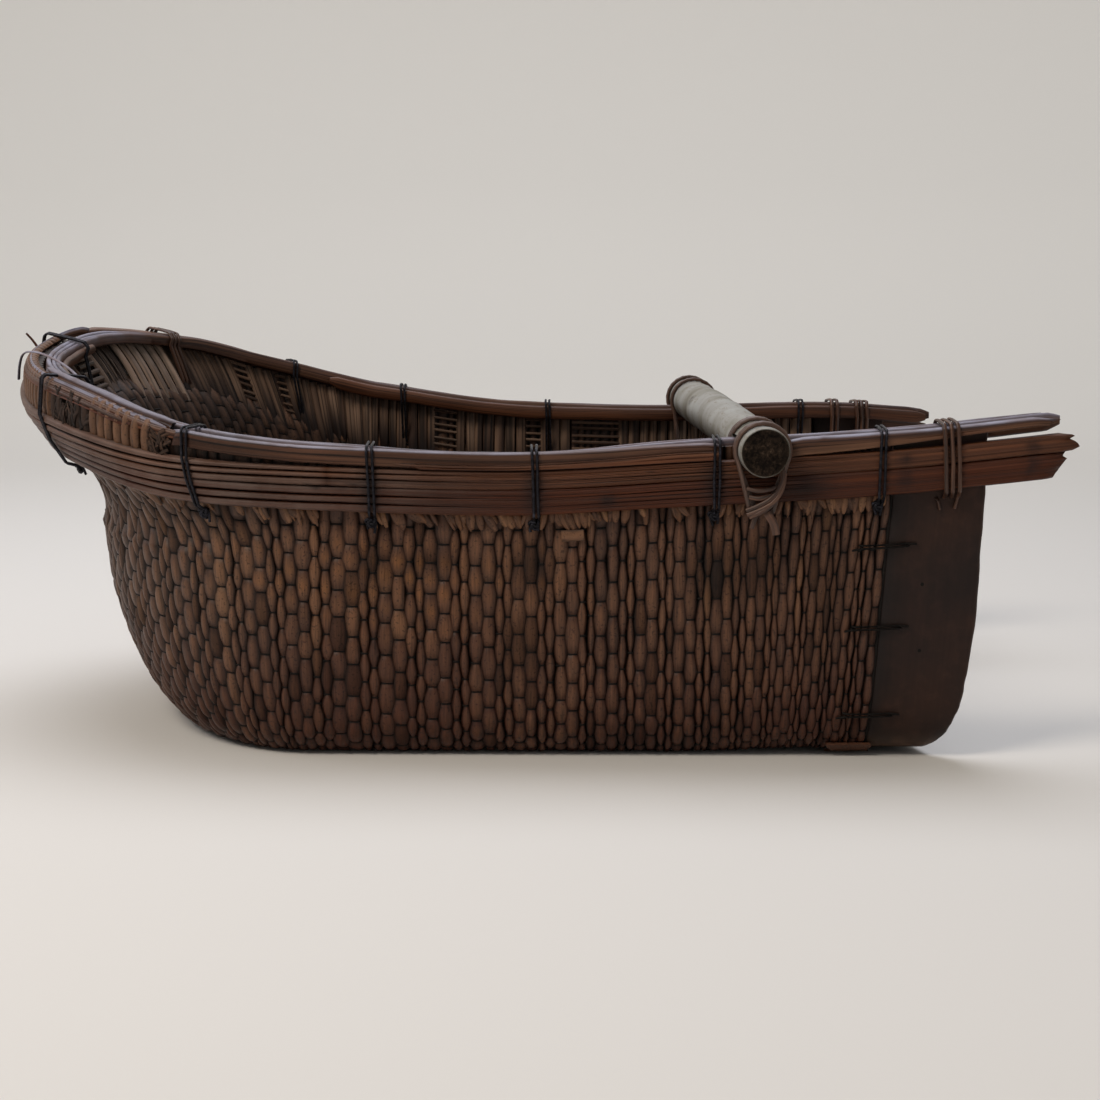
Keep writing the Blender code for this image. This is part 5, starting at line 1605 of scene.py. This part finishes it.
def corner_leaf(finish):
    """Flat leaf of wood that closes the corner under the weave at each end of the seam."""
    for name, run_of in (("near_corner_leaf", near_run), ("far_corner_leaf", far_run)):
        bundle = Bundle(name)
        levels = np.linspace(2.04, 2.62, 9)
        rings = []
        for level in levels:
            start = 0.194 + 0.002 * math.sin(level * 9)
            places = np.array([start, start, 0.2185 + 0.0012 * math.sin(level * 13), 0.2185])
            outs = np.array([0.4, 2.0, 1.7, 0.3]) * MM
            rings.append(off_wall(run_of(places), np.full(4, level), outs))
        bundle.add_rings(np.array(rings), tone=0.55, crown=0.9, along=levels[:, None] * 10 * MM,
                         across=np.array([0, 1, 20, 21])[None] * MM, wear=0.1)
        bundle.build(finish, "willow_rods", sharp=40)


# Camera, light and floor

def make_camera():
    data = bpy.data.cameras.new("photo_view")
    data.lens, data.sensor_width = 69.97, 36.0
    camera = bpy.data.objects.new("photo_view", data)
    camera.location = (0.042, -1.465, 0.279)
    camera.rotation_euler = (math.radians(90 - 6.907), 0.0, math.radians(0.7235))
    bpy.context.scene.collection.objects.link(camera)
    bpy.context.scene.camera = camera


def make_stage():
    """Pale floor that sweeps up to a plain backdrop."""
    # Matt paper roll: one plain pale tone. Where it rises behind the object it is shown paler to the
    # camera, glossy and transmission rays, so that it needs no lamp of its own.
    finish = bpy.data.materials.new("studio_paper")
    finish.use_nodes = True
    tree = finish.node_tree
    shader = tree.nodes["Principled BSDF"]
    shader.inputs["Base Color"].default_value = linear("#d2cfca")
    shader.inputs["Emission Color"].default_value = linear("#d2cfca")
    shader.inputs["Roughness"].default_value = 0.95
    rays = add_node(tree, "ShaderNodeLightPath").node.outputs
    seen = rays["Is Camera Ray"]
    for kind in ("Is Glossy Ray", "Is Transmission Ray"):
        seen = add_node(tree, "ShaderNodeMath", {"operation": "MAXIMUM"}, in_0=seen, in_1=rays[kind])
    place = add_node(tree, "ShaderNodeTexCoord", None, 3)
    split = add_node(tree, "ShaderNodeSeparateXYZ", in_0=place).node.outputs
    rise = add_node(tree, "ShaderNodeMapRange", {"interpolation_type": "SMOOTHSTEP"}, in_0=split[1],
                    in_1=0.2, in_2=3.0, in_4=0.42)
    glow = add_node(tree, "ShaderNodeMath", MULTIPLY, in_0=seen, in_1=rise)
    link_shader(tree, shader, Emission_Strength=glow)
    mesh = bpy.data.meshes.new("studio_floor")
    profile = [(-4.0, 0.0), (2.0, 0.0), (2.6, 0.12), (3.0, 0.5), (3.2, 1.2), (3.2, 4.5)]
    points, faces = [], []
    for y, z in profile:
        points += [(-6.0, y, z), (6.0, y, z)]
    for place in range(len(profile) - 1):
        faces.append((2 * place, 2 * place + 1, 2 * place + 3, 2 * place + 2))
    mesh.from_pydata(points, [], faces)
    mesh.shade_smooth()
    mesh.materials.append(finish)
    floor = bpy.data.objects.new("studio_floor", mesh)
    bpy.context.scene.collection.objects.link(floor)


def add_light(name, place, aim, size, power, colour="#ffffff"):
    data = bpy.data.lights.new(name, "AREA")
    data.shape, data.size, data.energy = "SQUARE", size, power
    data.color = linear(colour)[:3]
    lamp = bpy.data.objects.new(name, data)
    lamp.location = place
    way = np.array(aim) - np.array(place)
    flat = math.hypot(way[0], way[1])
    lamp.rotation_euler = (math.atan2(flat, -way[2]), 0.0, math.atan2(way[1], way[0]) - math.pi / 2)
    bpy.context.scene.collection.objects.link(lamp)


def make_light():
    world = bpy.data.worlds.new("studio")
    world.use_nodes = True
    world.node_tree.nodes["Background"].inputs["Color"].default_value = linear("#f6f4f2")
    world.node_tree.nodes["Background"].inputs["Strength"].default_value = 0.3
    bpy.context.scene.world = world
    add_light("key", (-1.15, -1.4, 1.9), (0, 0, 0.1), 0.9, 32, "#fff4e6")
    add_light("side_window", (-2.1, 0.35, 1.1), (-0.1, 0, 0.12), 0.8, 5, "#f2f4ff")
    add_light("sky", (-0.2, 0.5, 2.0), (-0.05, 0, 0.2), 1.6, 33, "#eef1fb")
    bpy.context.scene.view_settings.view_transform = "Standard"


make_camera()
make_stage()
make_light()

willow = willow_finish()
twine = twine_finish()
bamboo = bamboo_finish("split_bamboo_upper", "#361e12", "#583421", "#70472f")
bamboo_lower = bamboo_finish("split_bamboo_lower", "#2b1207", "#48210e", "#5c3119")
bamboo_cap = bamboo_finish("rubbed_bamboo_skin", "#362117", "#56392a", "#6e4f3b", "#8b8b9b")
wire, cane, board_wood = wire_finish(), cane_finish(), board_finish()

columns = weave_rods(willow, twine)
split_rod_ends(columns, willow)
inner_slats(bamboo_finish("split_willow_slats", "#453229", "#6c5545", "#8c7462", "#a39488"))
rod_tops(willow)
corner_leaf(willow)
loose_splints(bamboo_cap, bamboo_lower)

# Each groove: its place across the strip, its width, its depth in mm on the sides and round the back,
# where it opens, and how much of it is left at the mouth
upper_grooves = (
    (0.09, 0.016, 0.35, 0, 0.1), (0.19, 0.018, 0.5, 0.3, 0.3), (0.27, 0.015, 0.3, 0, 0.2),
    (0.345, 0.018, 0.7, 2.6, 0.1), (0.425, 0.015, 0.35, 0, 0), (0.5, 0.018, 0.5, 0.2, 0.2),
    (0.59, 0.015, 0.4, 0, 0.3), (0.667, 0.018, 0.7, 2.6, 0.1), (0.745, 0.015, 0.35, 0, 0),
    (0.83, 0.017, 0.5, 0.3, 0.2), (0.92, 0.015, 0.4, 0, 0),
)
lower_grooves = (
    (0.08, 0.015, 0.3, 0, 0), (0.17, 0.017, 0.4, 0.2, 0.1), (0.25, 0.015, 0.3, 0, 0),
    (0.335, 0.018, 0.6, 2.4, 0.1), (0.42, 0.015, 0.35, 0, 0.1), (0.51, 0.018, 0.5, 0.2, 0.2),
    (0.585, 0.015, 0.4, 0, 0), (0.66, 0.018, 0.7, 2.6, 0.1), (0.75, 0.015, 0.4, 0, 0.2),
    (0.84, 0.017, 0.5, 0.3, 0.3), (0.93, 0.015, 0.35, 0, 0),
)
outer_strip("outer_hoop_upper_split", near_run(334 * MM), far_run(318 * MM), 7.5, 8.0, upper_grooves,
            ((4, 0, 1, 3, 6, 3, 5, 12), (10, 3, 0, 2, 5, 3, 1, 8)), bamboo, "bamboo_strips",
            ("outer_hoop_upper",))
outer_strip("outer_hoop_lower_split", near_run(327 * MM), far_run(311 * MM), 7.0, 7.5, lower_grooves,
            ((8, 7, 5, 4, 2, 0, 3, 1), (6, 2, 0, 3, 4, 1, 0, 3)), bamboo_lower, "bamboo_lower",
            ("outer_hoop_lower",))

full_height = top_strip_height - strip_gap


def mouth_height(runs):
    """Height of the cap beside the mouth, lower towards its tip."""
    along = smooth_step(near_run(323 * MM), near_run(163 * MM), runs)
    return 5 * MM + (full_height - 5 * MM) * along


def mouth_drop(runs):
    return top_strip_height - (full_height - mouth_height(runs))


def face_height(runs):
    """Height of the thin splint on the face of the near cap, which widens towards the pole."""
    return 3.6 * MM + 1.6 * MM * smooth_step(near_run(0.02), near_run(0.11), runs)


cap_strip("mouth_cap_strip", near_run(323 * MM), near_run(163 * MM), mouth_drop, strip_thickness,
          mouth_height, bamboo_cap, "bamboo_top", ("mouth_top_strip",), wear=0.85, tips=(12, 3),
          nodes=(near_run(0.186),), top_only=0.5)
cap_strip("near_cap_strip", near_run(127 * MM), turn_run(23.5), top_strip_height, strip_thickness,
          full_height - 0.3 * MM, bamboo_cap, "bamboo_top", ("near_top_strip",), wear=0.65, tips=(3, 8),
          nodes=(near_run(-0.125),), top_only=0.85, toned=sheen_and_wear_share)
cap_strip("near_face_splint", near_run(126 * MM), near_run(-66 * MM), top_strip_height + 1.2 * MM,
          0.8 * MM, face_height, bamboo, "bamboo_strips", (), wear=0.1,
          out_shift=strip_thickness - 0.1 * MM, tips=(4, 25))
cap_strip("back_cap_splint", turn_run(24), turn_run(112), 6.2 * MM, 2.1 * MM, 5.9 * MM, bamboo_cap,
          "bamboo_strips", ("back_top_splint",), wear=0.75, tone=0.7)
cap_strip("near_back_cover", turn_run(23), turn_run(64), 2.2 * MM, 5.8 * MM, 5.0 * MM, bamboo_cap,
          "bamboo_strips", (), wear=0.6, out_shift=-8.2 * MM, tips=(6, 20), tone=0.45)
cap_strip("back_cap_second", turn_run(19), turn_run(106), 7.6 * MM, 1.7 * MM, 5.2 * MM, bamboo,
          "bamboo_strips", (), wear=0.35, out_shift=2.3 * MM, tips=(9, 9), tone=0.8)
cap_strip("back_cap_third", turn_run(30), turn_run(98), 9.4 * MM, 1.5 * MM, 4.4 * MM, bamboo_lower,
          "bamboo_strips", (), wear=0.3, out_shift=3.6 * MM, tips=(12, 12), tone=0.65)
cap_strip("far_cap_strip", turn_run(111.5), far_run(300 * MM), top_strip_height, strip_thickness,
          full_height - 1.0 * MM, bamboo, "bamboo_top", ("far_top_strip",), wear=0.4, tips=(3, 14),
          nodes=(far_run(-0.034),))

inner_start = weave_thickness + strip_gap
second_start = inner_start + hoop_thickness + strip_gap
inner_strands("inner_hoop_strands", near_run(325 * MM), far_run(316 * MM), (
    (inner_start, 3.1 * MM, 0.0, 11 * MM, 0.9, 0.55, 0, 4 * MM),
    (inner_start + 3.2 * MM, 2.8 * MM, 0.5 * MM, 10 * MM, 0.85, 0.4, 6 * MM, 0),
    (inner_start + 6.1 * MM, 2.9 * MM, 0.2 * MM, 10.8 * MM, 0.6, 0.7, 3 * MM, 9 * MM)),
    bamboo_cap, "bamboo_top", ("inner_hoop",))
inner_strands("far_inner_splint", far_run(-157 * MM), far_run(312 * MM), (
    (second_start, far_strip_thickness, 3 * MM, 9 * MM, 0.4, 0.5, 0, 0),),
    bamboo, "bamboo_top", ("far_inner_strip",))
inner_strands("bound_splints", turn_run(40), turn_run(104), (
    (second_start, bound_thickness, 3 * MM, 8 * MM, 0.3, 0.4, 0, 0),),
    bamboo, "bamboo_strips", ("bound_splint",))

# Each tie: its run, and how far it leans along the rim in mm
ties = [(near_run(x * MM), lean) for x, lean in ((218, -4), (122, -3), (17, 1), (-79, 1.5))]
ties += [(turn_run(turned), lean) for turned, lean in ((19.5, 6), (55, 3), (97.5, 2), (161.5, 0))]
ties += [(far_run(x * MM), lean) for x, lean in ((-94, 1), (19, 0), (214, 2))]
for number, (run, lean) in enumerate(ties):
    rim_winding(f"rim_tie_{number + 1:02d}", run, 2, 0.85 * MM, 2.9 * MM, 0.0, wire, "binding_wire",
                knot=1.05 * MM, lean=lean * MM)
# Each cane lashing: its run, turns, half width, pitch, recess, lean and flatness
for name, run, turns, radius, pitch, recess, lean, flat in (
        ("back_wrap", turn_run(131), 3, 1.5, 4.2, 0.0, 4, 0.6),
        ("near_end_lashing", near_run(259 * MM), 3, 1.35, 3.9, board_recess, 3, 0.7),
        ("far_end_lashing_1", far_run(241 * MM), 2, 1.35, 3.9, board_recess, 0, 0.7),
        ("far_end_lashing_2", far_run(262 * MM), 3, 1.35, 3.9, board_recess, 0, 0.7)):
    rim_winding(name, run, turns, radius * MM, pitch * MM, recess, cane, "split_cane", lean=lean * MM,
                flat=flat)
pole_lashing("pole_lashing_near", -1, 2, cane)
pole_lashing("pole_lashing_far", 1, 2, cane)
make_board(board_wood)
board_holes(twine)
make_stitches(twine)
make_pole(pole_finish(), end_grain_finish())
